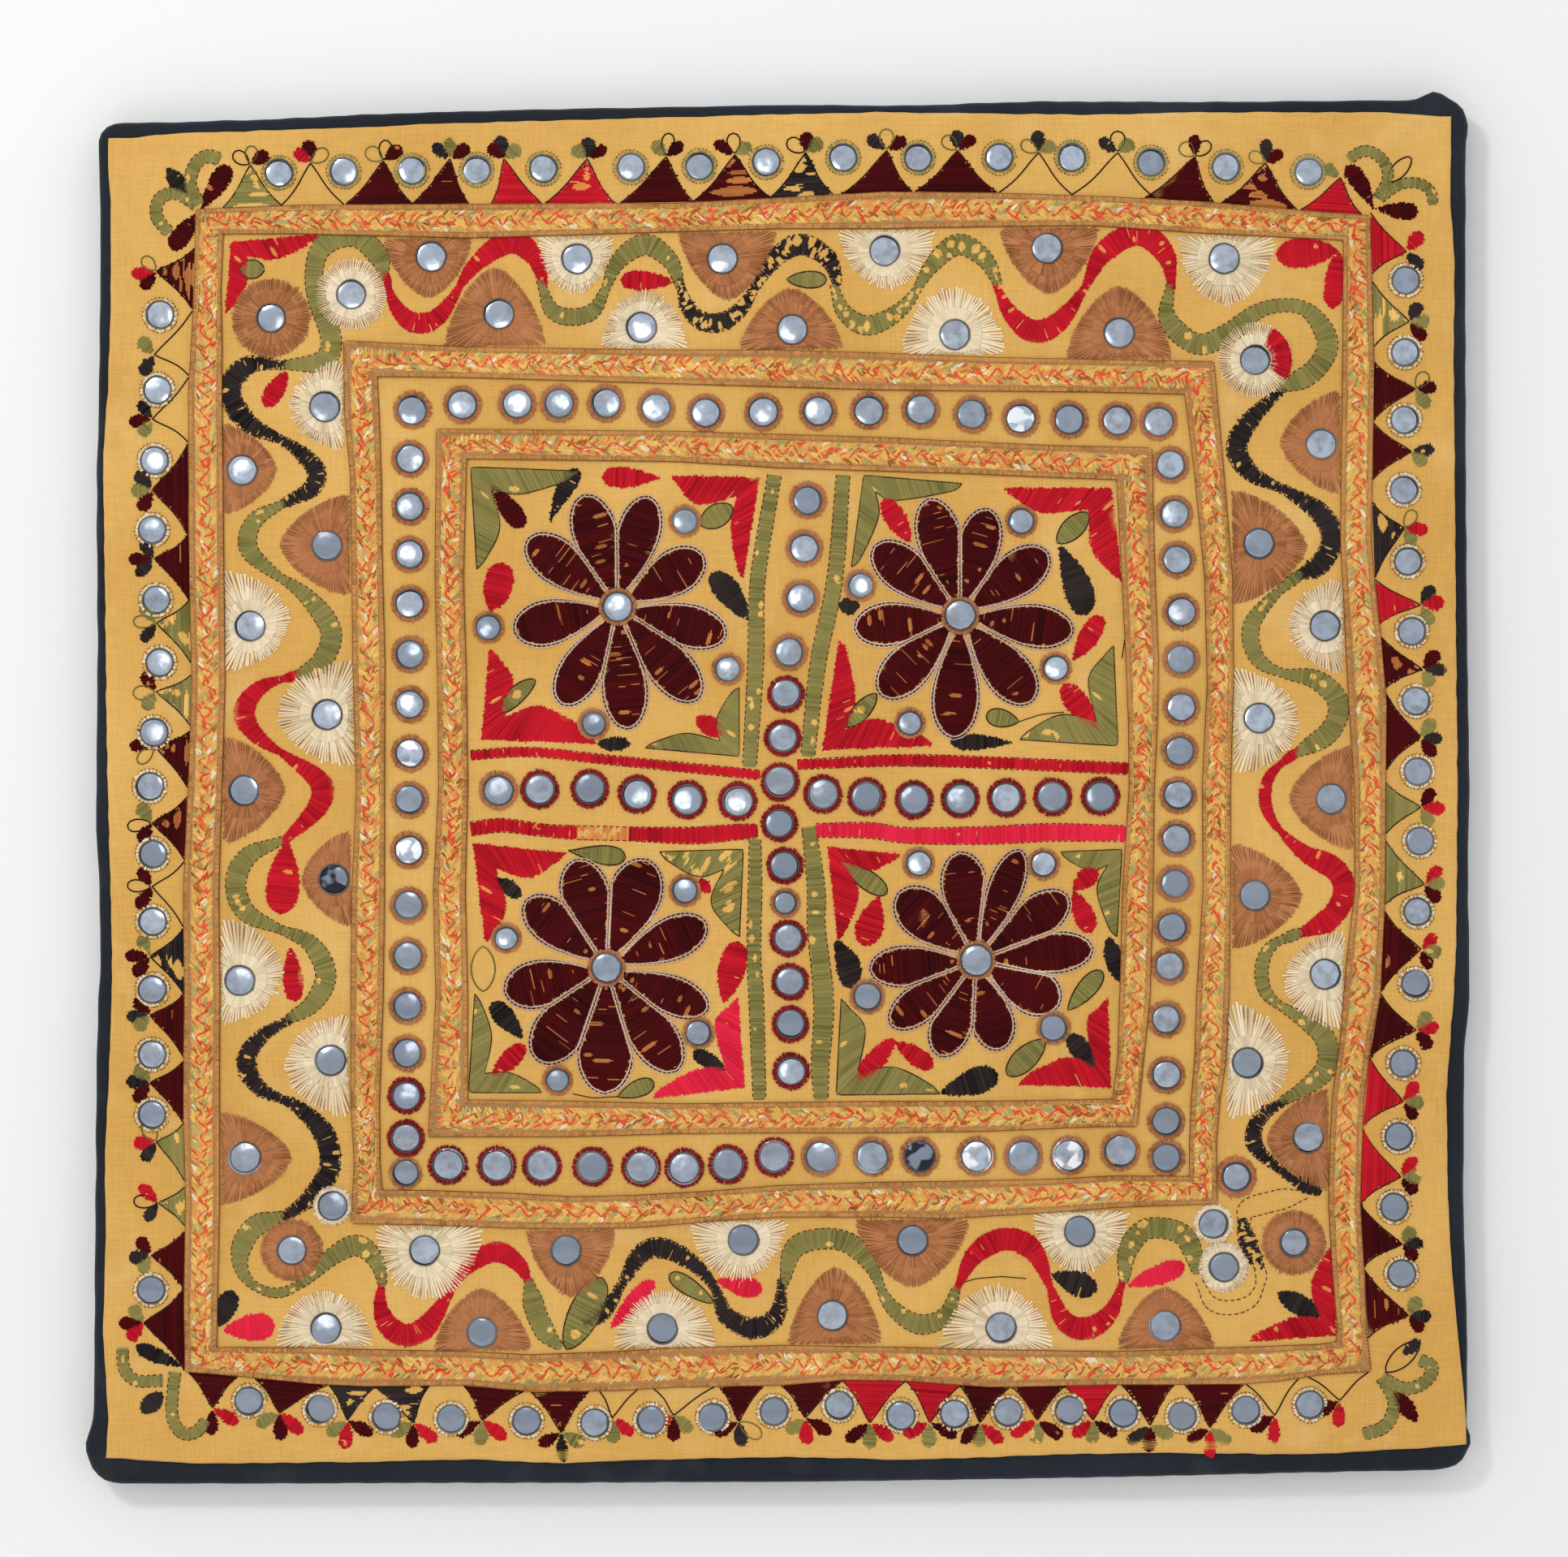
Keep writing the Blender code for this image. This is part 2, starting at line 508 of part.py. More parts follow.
def build_braid_side(name, sides, side, finish):
    """One mitred strip: a flat woven body between two raised edge cords."""
    order = {"left": ("bottom", "top"), "right": ("bottom", "top"),
             "top": ("left", "right"), "bottom": ("left", "right")}
    before, after = order[side]
    upright = side in ("left", "right")
    low_end = [braid_corner(sides, before, side, column) for column in (1, 2)]
    high_end = [braid_corner(sides, side, after, column) for column in (1, 2)]
    half_mitre = 0.22
    lengthways = (0, 1) if upright else (1, 0)
    stations = [[(u + half_mitre * lengthways[0], v + half_mitre * lengthways[1])
                 for u, v in low_end]]
    low_stop = max(end[1 if upright else 0] for end in low_end) + 1.0
    high_stop = min(end[1 if upright else 0] for end in high_end) - 1.0
    for place, outer, inner in sides[side]:
        if low_stop < place < high_stop:
            stations.append([(outer, place), (inner, place)] if upright
                            else [(place, outer), (place, inner)])
    stations.append([(u - half_mitre * lengthways[0], v - half_mitre * lengthways[1])
                     for u, v in high_end])
    seat = FRAME_DEPTH + 2 * SEAT_GAP + PANEL_THICKNESS
    cord_crest = 1.2
    cord_foot = 2.8
    rings = []
    for (outer_u, outer_v), (inner_u, inner_v) in stations:
        width = math.hypot(outer_u - inner_u, outer_v - inner_v)
        profile = (
            (0.0, 0.0),
            (0.0, BRAID_SIDE),
            (cord_crest / width, BRAID_CORD),
            (cord_foot / width, BRAID_BODY),
            (1 - cord_foot / width, BRAID_BODY),
            (1 - cord_crest / width, BRAID_CORD),
            (1.0, BRAID_SIDE),
            (1.0, 0.0),
        )
        rings.append([
            at(outer_u + share * (inner_u - outer_u), outer_v + share * (inner_v - outer_v), seat + rise)
            for share, rise in profile
        ])
    builder = bmesh.new()
    vertex_rings = loft_rings(builder, rings, close_ring=True, close_tube=False)
    builder.faces.new(vertex_rings[0])
    builder.faces.new(vertex_rings[-1])
    return add_object(name, builder, finish)


def build_braids(finish):
    """Three square rounds of four mitred strips."""
    for braid, sides in BRAIDS.items():
        for side in sides:
            build_braid_side(f"braid_{braid}_{side}", sides, side, finish)


def main():
    """Clear the scene and build every piece."""
    for old in list(bpy.data.objects):
        bpy.data.objects.remove(old, do_unlink=True)
    build_bars(material("bare_pine", WOOD_COLOUR, 0.6))
    build_ground_cloth(material("dark_cotton", GROUND_COLOUR, 0.9))
    build_panel(material("yellow_cotton", YELLOW_COLOUR, 0.85))
    build_braids(material("woven_braid", BRAID_COLOUR, 0.6))


main()
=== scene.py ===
"""Embroidered mirror-work wall hanging on a cloth-covered stretcher frame.

Yellow cotton with mirrors, satin stitches and three rounds of woven braid, sewn to a dark
ground cloth on four wooden bars. The front faces -Y and the wall is the plane Y = 0. Places on
the face are (u, v) in millimetres, u to the right and v up from the middle of the face.
"""

import math

import bmesh
import bpy
import numpy as np
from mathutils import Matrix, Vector


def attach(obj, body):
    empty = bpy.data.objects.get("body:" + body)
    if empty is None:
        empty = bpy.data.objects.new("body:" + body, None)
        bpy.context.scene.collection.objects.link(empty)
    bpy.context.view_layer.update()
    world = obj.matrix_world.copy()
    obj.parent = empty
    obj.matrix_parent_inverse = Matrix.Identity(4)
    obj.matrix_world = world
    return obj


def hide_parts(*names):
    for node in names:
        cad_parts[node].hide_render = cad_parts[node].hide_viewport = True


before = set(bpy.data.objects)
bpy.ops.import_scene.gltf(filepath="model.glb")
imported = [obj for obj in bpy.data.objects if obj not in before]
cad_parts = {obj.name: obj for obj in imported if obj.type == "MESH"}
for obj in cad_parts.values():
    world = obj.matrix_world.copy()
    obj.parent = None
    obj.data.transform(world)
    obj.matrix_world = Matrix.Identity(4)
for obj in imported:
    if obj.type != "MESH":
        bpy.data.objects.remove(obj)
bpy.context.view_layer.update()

chance = np.random.default_rng(7)

MM = 0.001

# Heights of the layers in front of the wall plane, in millimetres
CLOTH_THICKNESS = 1.0
FRAME_DEPTH = 20.0
PANEL_BACK = 20.3
PANEL_FACE = 21.5
BRAID_SEAT = 21.8
BRAID_SIDE = 0.5
BRAID_BODY = 0.7
BRAID_CORD = 1.2
BRAID_TOP = BRAID_SEAT + BRAID_BODY

# Lengths on the face, in millimetres. The face's middle hangs below the mount
HANG_HEIGHT = 328.8
FACE_HALF = 330.0
FLAP_INNER_HALF = 301.0
EDGE_ROUNDING = 2.5
GROUND_STEP = 4.0
PANEL_SIDE = 645
PANEL_REACH_U = 323
PANEL_REACH_V = 320
PANEL_CELLS = 149
HEM_WIDTH = 6.2
BRAID_WIDTH = 13.5
BRAID_STEP = 2.2
BRAID_EDGE_STEP = 1.1
BAND_MIDDLE = 240
PETAL_START = 8.2
SHORTEST_STITCH = 0.6
LEAF_STEPS = 25
MOON_GLASS = 7.1
SUN_GLASS = 6.8

# Heights above the yellow cloth, in millimetres: a stitch's middle over its feet, its feet over
# the cloth, and the glass with the stitches that hold it
STITCH_RISE = 0.42
STITCH_SEAT = 0.22
GLASS_SEAT = 0.55

# How far each mirror may tip, in radians
MIRROR_TIP = 0.045

# The inside of the ground cloth: how far in from the edge, how far in front of the wall
GROUND_INSIDE = (
    (2.6, 1.0), (1.3, 1.4), (1.0, 2.8), (1.0, 10.0), (1.0, 17.0), (1.4, 18.6), (2.6, 19.0),
    (20.0, 19.0), (46.0, 19.0),
)

# A braid from its edge to its middle: how far in, how high above its seat
BRAID_SECTION = ((0.55, 1.02), (1.3, BRAID_CORD), (2.1, 1.02), (2.9, BRAID_BODY))

# The camera and the stage, in metres, and the camera's lens in millimetres
CAMERA_PLACE = (0.0016, -2.2218, -0.3245)
CAMERA_LENS = 105.1
FLOOR_LEVEL = -0.95
WALL_PLACE = 0.0015

# Edges of the ground cloth: place along the side, place across it (mm)
GROUND_LEFT = (
    (-300, -331.0), (-240, -330.5), (-150, -329.8), (-110, -329.2), (-90, -328.0), (-70, -327.8),
    (-40, -328.6), (-20, -330.0), (60, -329.2), (150, -329.6), (189, -328.5), (230, -328.0),
    (273, -327.8), (311, -328.6),
)
GROUND_TOP = (
    (-320, 320.2), (-297, 320.3), (-243, 322.0), (-200, 324.3), (-165, 325.4), (-100, 327.0),
    (0, 328.8), (60, 328.5), (120, 330.5), (200, 330.3), (300, 331.0), (318, 331.0),
)
GROUND_RIGHT = (
    (-306, 330.6), (-270, 330.9), (-250, 330.4), (-200, 329.0), (-130, 329.3), (-100, 332.0),
    (-40, 331.2), (0, 331.9), (100, 330.5), (200, 330.0), (311, 330.0),
)
GROUND_BOTTOM = (
    (-310, -335.5), (-100, -335.0), (0, -334.6), (50, -334.0), (100, -333.4), (200, -331.4),
    (280, -329.5), (308, -329.0),
)

# Round corners of the ground cloth, clockwise from the side before each corner (mm)
GROUND_CORNERS = {
    "top_left": ((-327.6, 315.0), (-324.6, 318.4)),
    "top_right": ((325.0, 330.4), (329.6, 326.0), (330.2, 318.0)),
    "bottom_right": ((330.9, -315.0), (329.6, -322.5), (324.5, -327.2), (316.0, -328.8)),
    "bottom_left": ((-320.0, -335.4), (-327.2, -333.2), (-330.4, -328.0), (-331.0, -316.0)),
}

# Bulky folds at the corners: middle of the bulge (u, v), its reach out (u, v), its width (mm)
CORNER_BULGES = (
    ((315.0, 331.0), (0.0, 4.2), 9.0),
    ((-331.0, -318.0), (-4.2, 0.0), 13.0),
    ((331.0, -314.5), (2.2, 0.0), 6.0),
    ((330.5, 318.0), (1.2, 0.0), 8.0),
)

# Edges of the yellow panel: place along the side, place across it (mm)
PANEL_LEFT = (
    (-320, -324.4), (-300, -323.2), (-260, -325.7), (-210, -324.4), (-175, -325.0), (-130, -322.8),
    (-90, -321.5), (-60, -321.8), (30, -324.0), (110, -325.0), (165, -325.7), (200, -323.3),
    (240, -322.0), (290, -322.0), (303, -323.3),
)
PANEL_TOP = (
    (-316, 312.0), (-291, 314.3), (-200, 317.3), (-165, 319.0), (-80, 321.3), (0, 323.5),
    (50, 324.5), (150, 323.3), (200, 324.5), (290, 324.5), (318, 322.6),
)
PANEL_RIGHT = (
    (-312, 329.6), (-300, 329.0), (-280, 326.8), (-240, 323.0), (-200, 320.8), (-150, 320.0),
    (-100, 323.8), (-80, 324.7), (0, 325.4), (100, 324.5), (200, 323.5), (250, 324.0),
    (280, 322.0), (318, 322.4),
)
PANEL_BOTTOM = (
    (-322, -322.3), (-310, -323.0), (-280, -325.0), (-200, -324.2), (-150, -322.9), (-110, -324.8),
    (-60, -323.0), (0, -321.8), (60, -323.2), (130, -320.6), (170, -319.8), (240, -320.5),
    (260, -320.0), (300, -317.6), (328, -315.4),
)

# Braids, one table a side: place along the side, outer edge, inner edge (mm)
BRAIDS = {
    "outer": {
        "left": (
            (-280, -286.0, -271.0), (-250, -286.6, -270.7), (-200, -285.7, -269.7),
            (-150, -286.9, -269.7), (-100, -286.3, -269.5), (-50, -286.9, -270.0),
            (0, -284.5, -268.5), (50, -282.7, -267.0), (100, -284.0, -267.5),
            (190, -284.5, -268.5), (215, -283.0, -268.5), (240, -281.5, -269.0),
            (270, -281.0, -268.0),
        ),
        "top": (
            (-280, 277.5, 266.0), (-230, 279.6, 266.0), (-150, 280.0, 264.0), (-50, 280.5, 267.0),
            (0, 283.0, 268.5), (50, 286.0, 268.5), (100, 285.5, 269.5), (150, 284.0, 270.0),
            (200, 281.5, 266.5), (250, 277.0, 264.0), (285, 274.5, 263.0),
        ),
        "right": (
            (-280, 283.5, 267.0), (-260, 281.3, 267.6), (-230, 280.0, 265.0),
            (-200, 278.3, 263.3), (-170, 279.3, 264.0), (-150, 280.0, 265.0),
            (-120, 283.7, 269.0), (-100, 287.9, 270.5), (-80, 289.0, 272.3),
            (-50, 290.3, 275.9), (0, 290.5, 275.8), (40, 291.0, 273.0), (70, 288.5, 271.5),
            (90, 286.0, 270.5), (120, 283.5, 269.0), (200, 285.0, 270.0), (275, 283.0, 270.5),
        ),
        "bottom": (
            (-284, -280.5, -269.3), (-260, -282.7, -269.0), (-225, -286.3, -269.3),
            (-200, -287.5, -270.0), (-150, -286.9, -271.0), (-120, -290.0, -272.6),
            (-80, -289.6, -271.0), (-50, -287.9, -269.3), (0, -287.0, -268.0),
            (30, -284.4, -268.5), (60, -284.9, -269.0), (100, -287.9, -270.2),
            (160, -286.7, -271.0), (220, -286.5, -269.0), (240, -284.9, -268.3),
            (260, -281.9, -267.5), (284, -280.3, -266.4),
        ),
    },
    "middle": {
        "left": (
            (-205, -206.2, -191.5), (-180, -204.8, -192.6), (-150, -206.5, -192.8),
            (-100, -206.5, -191.0), (-50, -206.0, -190.4), (0, -203.7, -190.4),
            (60, -205.5, -190.2), (110, -206.0, -191.5), (150, -206.7, -192.0),
            (180, -209.5, -193.0), (210, -210.0, -194.0),
        ),
        "top": (
            (-210, 214.5, 197.5), (-150, 211.4, 197.0), (-50, 210.0, 194.0), (0, 210.0, 192.5),
            (50, 208.5, 191.0), (100, 206.5, 190.5), (150, 205.5, 190.0), (208, 204.5, 189.0),
        ),
        "right": (
            (-197, 209.5, 196.5), (-170, 209.3, 196.5), (-150, 211.0, 197.3),
            (-130, 214.0, 199.0), (-100, 215.3, 199.9), (-50, 216.0, 203.0),
            (0, 216.0, 202.6), (50, 217.5, 205.0), (100, 217.0, 203.8), (150, 213.0, 199.0),
            (204, 208.0, 194.2),
        ),
        "bottom": (
            (-206, -209.3, -193.6), (-170, -210.0, -193.6), (-130, -211.5, -195.0),
            (-100, -211.7, -196.7), (-70, -211.4, -196.0), (-30, -208.0, -193.7),
            (0, -206.2, -191.2), (50, -206.3, -189.6), (80, -207.0, -189.3),
            (130, -204.0, -188.3), (160, -201.7, -186.6), (209, -199.7, -187.0),
        ),
    },
    "inner": {
        "left": (
            (-167, -169.2, -150.5), (-150, -168.6, -150.5), (-100, -165.6, -150.5),
            (-50, -166.8, -151.6), (0, -164.3, -150.4), (50, -164.7, -151.0),
            (100, -166.0, -152.5), (171, -165.3, -151.0),
        ),
        "top": (
            (-165, 172.0, 158.0), (-50, 171.0, 156.6), (0, 169.5, 153.6), (50, 168.0, 152.0),
            (90, 166.0, 150.8), (130, 164.2, 149.0), (178, 163.0, 148.0),
        ),
        "right": (
            (-163, 171.0, 159.6), (-150, 172.6, 160.3), (-130, 174.4, 162.0),
            (-100, 177.4, 163.0), (-50, 178.8, 164.3), (0, 179.4, 167.5), (30, 180.8, 167.2),
            (60, 181.4, 166.0), (100, 179.8, 164.0), (163, 178.2, 161.6),
        ),
        "bottom": (
            (-169, -167.7, -150.2), (-100, -167.6, -150.8), (-50, -166.2, -152.0),
            (0, -165.8, -151.4), (50, -165.8, -150.8), (100, -165.0, -150.8),
            (150, -162.9, -150.0), (171, -162.7, -149.8),
        ),
    },
}

# Rows of mirrors: True where the row runs up and down, glass radius, places along it,
# and the row's own line as (along, across) (mm)
MIRROR_ROWS = (
    (False, 6.4, (-241, -210, -177, -146, -114, -72, -39, -7, 30, 66, 105, 140, 178, 214, 253.5),
     ((-241, 295.3), (-40, 298.5), (30, 302.6), (140, 302.6), (253, 295.8))),
    (True, 6.5, (243.6, 209, 176.5, 143, 108.6, 75, 41.5, 7.7, -25.7, -59.7, -94.4, -132.6,
                 -167.7, -201.6, -233.6),
     ((-234, 298.4), (-202, 294.8), (-133, 299.2), (-94, 305.0), (-26, 307.0), (41, 305.2),
      (143, 299.6), (244, 300.4))),
    (True, 6.5, (227, 191, 157, 123.7, 90, 60, 26.5, 0.5, -32, -64.4, -97.1, -128.3, -157.2,
                 -241.4),
     ((-241, -302.6), (-32, -301.6), (0, -303.2), (60, -298.4), (124, -302.0), (227, -298.2))),
    (False, 6.6, (-255.5, -221.5, -189.5, -158.3, -122.1, -89.3, -62.4, -32.4, -3.1, 28.1, 57.7,
                  83.5, 109.2, 138.5, 164.6, 193, 223.5, 254.3),
     ((-255, -294.8), (-190, -302.4), (-90, -305.3), (-32, -302.4), (28, -296.8), (58, -301.8),
      (138, -299.2), (193, -302.0), (254, -296.6))),
    (False, 6.8, (-177, -153, -126.6, -106.6, -84, -60, -36, -8.5, 18, 42.4, 67.3, 92, 115.3,
                  138.7, 161.8, 181.5),
     ((-177, 181.4), (-150, 184.2), (-84, 184.6), (-36, 180.0), (67, 181.4), (115, 177.4),
      (181, 175.8))),
    (True, 6.6, (158, 135, 112, 88.5, 64, 40, 16.4, -5.9, -30, -56.6, -81, -105, -127.5, -148,
                 -168.6),
     ((-186, -180.3), (-100, -179.4), (0, -178.2), (158, -178.2))),
    (True, 6.6, (155, 131.4, 109.6, 84.4, 61.6, 38.6, 17.5, -3.7, -24.6, -46, -67.1, -85.8,
                 -111.2, -138.1, -160.5, -177.9),
     ((-178, 185.3), (-111, 185.3), (-46, 189.5), (40, 192.5), (84, 192.3), (155, 187.4))),
    (False, 7.2, (-159.9, -136.5, -114.7, -90.5, -67.1, -46.4, -25.4, -3.1, 19.1, 44.1, 66.7,
                  94, 116.6, 138.8, 163),
     ((-160, -181.4), (-46, -182.6), (-25, -181.0), (-3, -177.5), (139, -176.8),
      (163, -174.7))),
    (True, 6.6, (138, 115, 91, 65, 44.8, 23.8, -17.2, -37.5, -72.4, -93.3, -113.7, -136.2),
     ((-136, 5.0), (-93, 4.4), (-37, 2.0), (-17, -0.6), (24, 1.0), (65, 4.0), (91, 9.6),
      (138, 13.0))),
    (False, 7.0, (-135.7, -115.8, -91.7, -69, -44.9, -20.7, -0.4, 20.3, 41.3, 64, 86.2, 108.4,
                  130.7, 153.7),
     ((-136, -1.4), (-92, -0.6), (-45, -5.8), (-20, -6.6), (0, 2.8), (20, -3.2), (64, -5.8),
      (154, -4.2))),
)

# Mirrors set alone, in the middle of a motif: u, v, glass radius (mm)
SINGLE_MIRRORS = (
    (-168, 255.0, 7.0), (-98, 254, 7.2), (-28, 254, 7.0), (50, 258, 7.2), (128, 259, 7.0),
    (213, 254, 7.2), (-135.5, 227.5, 7.0), (-67, 221, 7.2), (5.5, 220, 7.0),
    (83.6, 217.6, 7.2), (162.5, 218.4, 7.0), (-245, 225.5, 6.6), (-206.4, 237, 7.0),
    (228, 205.5, 7.0), (-258.8, 152.4, 7.0), (-255, 77.5, 7.2), (-258, -1.5, 7.4),
    (-219, 183, 7.2), (-218, 116, 7.0), (-218, 35, 7.2), (229.8, 117, 7.2),
    (229.8, 33.4, 7.2), (259.8, 165, 7.0), (261.5, 77.6, 7.2), (264.6, -5.4, 7.2),
    (-214.6, -44.1, 6.4), (-259.9, -92.7, 7.0), (-216.2, -131.1, 7.4), (-257.3, -177.6, 7.4),
    (-235, -222.3, 6.8), (-215.3, -200.9, 6.8), (-218.5, -259.6, 7.4), (-171.2, -222.5, 7.4),
    (-143.6, -261.8, 7.0), (-103.1, -222.5, 7.0), (-56.9, -260.1, 7.2), (-17.9, -217.4, 7.2),
    (24.9, -253.7, 7.0), (63.3, -217.7, 7.2), (105.9, -259.6, 7.4), (143.6, -213.2, 7.4),
    (184.7, -258.5, 7.6), (208.1, -209.6, 6.8), (212.9, -230.3, 7.2), (218.9, -187.1, 6.2),
    (246.7, -218.7, 6.0), (227.9, -51.9, 7.0), (261.6, -89.7, 7.4), (224.4, -132.3, 7.6),
    (253.4, -168.2, 7.2),
    (-78.4, 86.8, 7.0), (86.2, 82.6, 7.2), (-83.7, -86.7, 7.0), (93.9, -83.1, 7.4),
    (-46, 128, 5.8), (-25.5, 57, 5.8), (-90, 30.5, 5.6), (-140.5, 77, 5.8),
    (115.5, 128, 5.8), (132, 57.5, 5.8), (62, 31, 5.6), (38, 97, 5.8),
    (-131.9, -72.3, 5.4), (-107.3, -140.6, 5.4), (-39.5, -117.9, 5.8), (-46.1, -49.5, 5.8),
    (66.3, -36.3, 5.8), (41.7, -100.5, 6.4), (131.1, -115.5, 6.2), (126.3, -36.9, 5.8),
    (2.2, -55.4, 5.2), (-180.3, -185.3, 6.0),
)

# Colours as linear values: the darkest and the lightest shade of each thread
THREAD_COLOURS = {
    "maroon": ((0.026, 0.0008, 0.0012), (0.080, 0.0022, 0.0032)),
    "red": ((0.31, 0.003, 0.009), (0.64, 0.012, 0.026)),
    "pink": ((0.58, 0.010, 0.034), (0.84, 0.026, 0.066)),
    "green": ((0.150, 0.135, 0.035), (0.315, 0.265, 0.080)),
    "black": ((0.008, 0.006, 0.006), (0.040, 0.028, 0.026)),
    "cream": ((0.60, 0.47, 0.28), (0.90, 0.76, 0.54)),
    "tan": ((0.31, 0.112, 0.040), (0.53, 0.215, 0.086)),
    "dark_brown": ((0.030, 0.012, 0.006), (0.090, 0.038, 0.016)),
    "orange": ((0.62, 0.18, 0.05), (0.80, 0.32, 0.09)),
    "coral": ((0.60, 0.045, 0.018), (0.82, 0.120, 0.050)),
    "dark_red": ((0.14, 0.006, 0.009), (0.30, 0.016, 0.020)),
    # The grey thread rings each mirror's glass and is partly painted shade at its edge
    "grey": ((0.09, 0.08, 0.075), (0.24, 0.21, 0.19)),
    "blush": ((0.60, 0.40, 0.30), (0.86, 0.66, 0.53)),
    "brown_edge": ((0.33, 0.135, 0.038), (0.64, 0.300, 0.090)),
    "dark_tan": ((0.16, 0.065, 0.015), (0.30, 0.130, 0.035)),
    "rust": ((0.26, 0.070, 0.016), (0.52, 0.190, 0.050)),
    "sage": ((0.26, 0.23, 0.07), (0.50, 0.42, 0.16)),
    "gold": ((0.56, 0.29, 0.055), (0.86, 0.55, 0.15)),
}

# The shade that shows where the stitches of a colour have worn thin
WORN_SHADES = {"maroon": "rust", "red": "orange", "pink": "orange", "green": "gold"}

# Each cotton's light, dark and worn colour, and how close its threads lie
YELLOW_COTTON = ((0.78, 0.45, 0.115), (0.69, 0.37, 0.08), (0.80, 0.50, 0.17), 950.0)
DARK_COTTON = ((0.012, 0.018, 0.026), (0.007, 0.010, 0.015), (0.030, 0.036, 0.042), 800.0)

WALL_COLOUR = (0.85, 0.84, 0.825)
FLOOR_COLOUR = (0.88, 0.87, 0.86)
ROOM_COLOUR = (0.93, 0.96, 1.0, 1.0)
ROOM_LIGHT = 0.93
LAMP_COLOUR = (1.0, 0.985, 0.96)
# Lamps: name, place, width and power. The dim one is there for the mirrors to show
LAMPS = (
    ("Soft key", (-1.05, -2.05, 0.80), 0.34, 15.0),
    ("Dim window", (-0.30, -2.05, -0.11), 0.42, 1.0),
)

# Discs of spokes by thread: the power of the outline (2 is round), strands in the outer round,
# how ragged their tips are, how thick they lie, and the share and thread of the thin dark strands
# between them, which are painted shadow in the gaps between the spokes
MOON_KINDS = {
    "cream": (1.85, 84, 0.6, 0.80, 0.55, "brown_edge"),
    "tan": (1.55, 104, 0.25, 1.20, 0.85, "dark_tan"),
}

# Flowers: middle of the mirror, then each petal's heading (degrees), reach and width (mm)
FLOWERS = (
    ((-78.4, 86.8), ((107, 55, 19), (74, 54, 18), (31, 47, 19), (-15, 53, 18), (-49, 58, 19),
                     (-85, 58, 19), (-120, 53, 18), (-167, 50, 19), (143, 53, 19))),
    ((86.2, 82.6), ((105, 57, 19), (75, 52, 18), (36, 51, 19), (-8, 54, 18), (-50, 53, 20),
                    (-93, 58, 20), (-135, 53, 19), (187, 50, 18), (141, 52, 19))),
    ((-83.7, -86.7), ((69, 54.6, 23), (24, 51.6, 18), (-22.5, 51.7, 16), (-55.5, 58.9, 20),
                      (-90.8, 59.4, 24), (-126.7, 54.6, 22), (193.4, 49.3, 20),
                      (140, 49.5, 18.6), (106, 53, 21))),
    ((93.9, -83.1), ((98.7, 51.6, 20), (68, 56.2, 14), (35.3, 52.9, 18), (5.6, 55.4, 17),
                     (-28.3, 44.3, 20), (-74.8, 43.5, 18), (-111, 48.2, 17.4),
                     (-142.7, 50.5, 15.6), (-175.2, 50.2, 17), (139, 48.4, 21))),
)

# Corner sprays inside the four squares: thread, corner, then tip and belly of both leaves, how worn
CORNER_SPRAYS = (
    ("green", (-149, 154), (-97, 152), (-125, 141), (-146, 105), (-135, 125), 0.10),
    ("red", (-10, 149), (-53, 150), (-40, 136), (-18, 100), (-24, 126), 0.12),
    ("green", (-20, 15), (-20, 48), (-31, 32), (-65, 19), (-45, 26), 0.10),
    ("red", (-144, 23), (-140, 67), (-128, 50), (-88, 21), (-115, 39), 0.12),
    ("green", (40, 150), (87, 146), (55, 138), (34, 106), (47, 130), 0.10),
    ("red", (159, 144), (107, 144), (125, 132), (164, 99), (149, 115), 0.15),
    ("green", (162, 20), (160, 68), (148, 52), (115, 23), (135, 35), 0.10),
    ("red", (20, 18), (28, 71), (36, 40), (73, 20), (45, 33), 0.15),
    ("red", (-148, -26.7), (-103, -31.5), (-121, -43.5), (-142, -75.3), (-131.9, -57.3), 0.20),
    ("green", (-150, -146.6), (-147, -99.3), (-139, -119.7), (-115, -146.6), (-130.7, -137), 0.12),
    ("pink", (-17.4, -144.2), (-20.4, -100.5), (-31.8, -113.7),
        (-61.7, -149.6), (-39.5, -135.3), 0.12),
    ("green", (-18, -29.7), (-58.1, -30.9), (-39.5, -42.9), (-19.8, -71.7), (-33.5, -55), 0.60),
    ("red", (22.5, -28.5), (57.9, -32.1), (43, -40), (27.3, -73.5), (37.5, -51.3), 0.12),
    ("green", (26.7, -147.8), (29.1, -101.7), (40.5, -116), (76.5, -147.2), (54.9, -134.6), 0.10),
    ("red", (158.6, -144.2), (157.4, -100.5), (147.2, -112.5),
        (114.3, -143), (136.5, -129.9), 0.10),
    ("green", (164, -29.7), (134.7, -31), (149, -40), (161.6, -71.7), (152, -49), 0.15),
    ("red", (-264, 262), (-222, 266), (-242, 254), (-267, 228), (-256, 244), 0.20),
    ("red", (266.9, -263.3), (265.7, -220.1), (254.9, -239.3),
        (224.9, -266.3), (247.7, -254.3), 0.15),
)

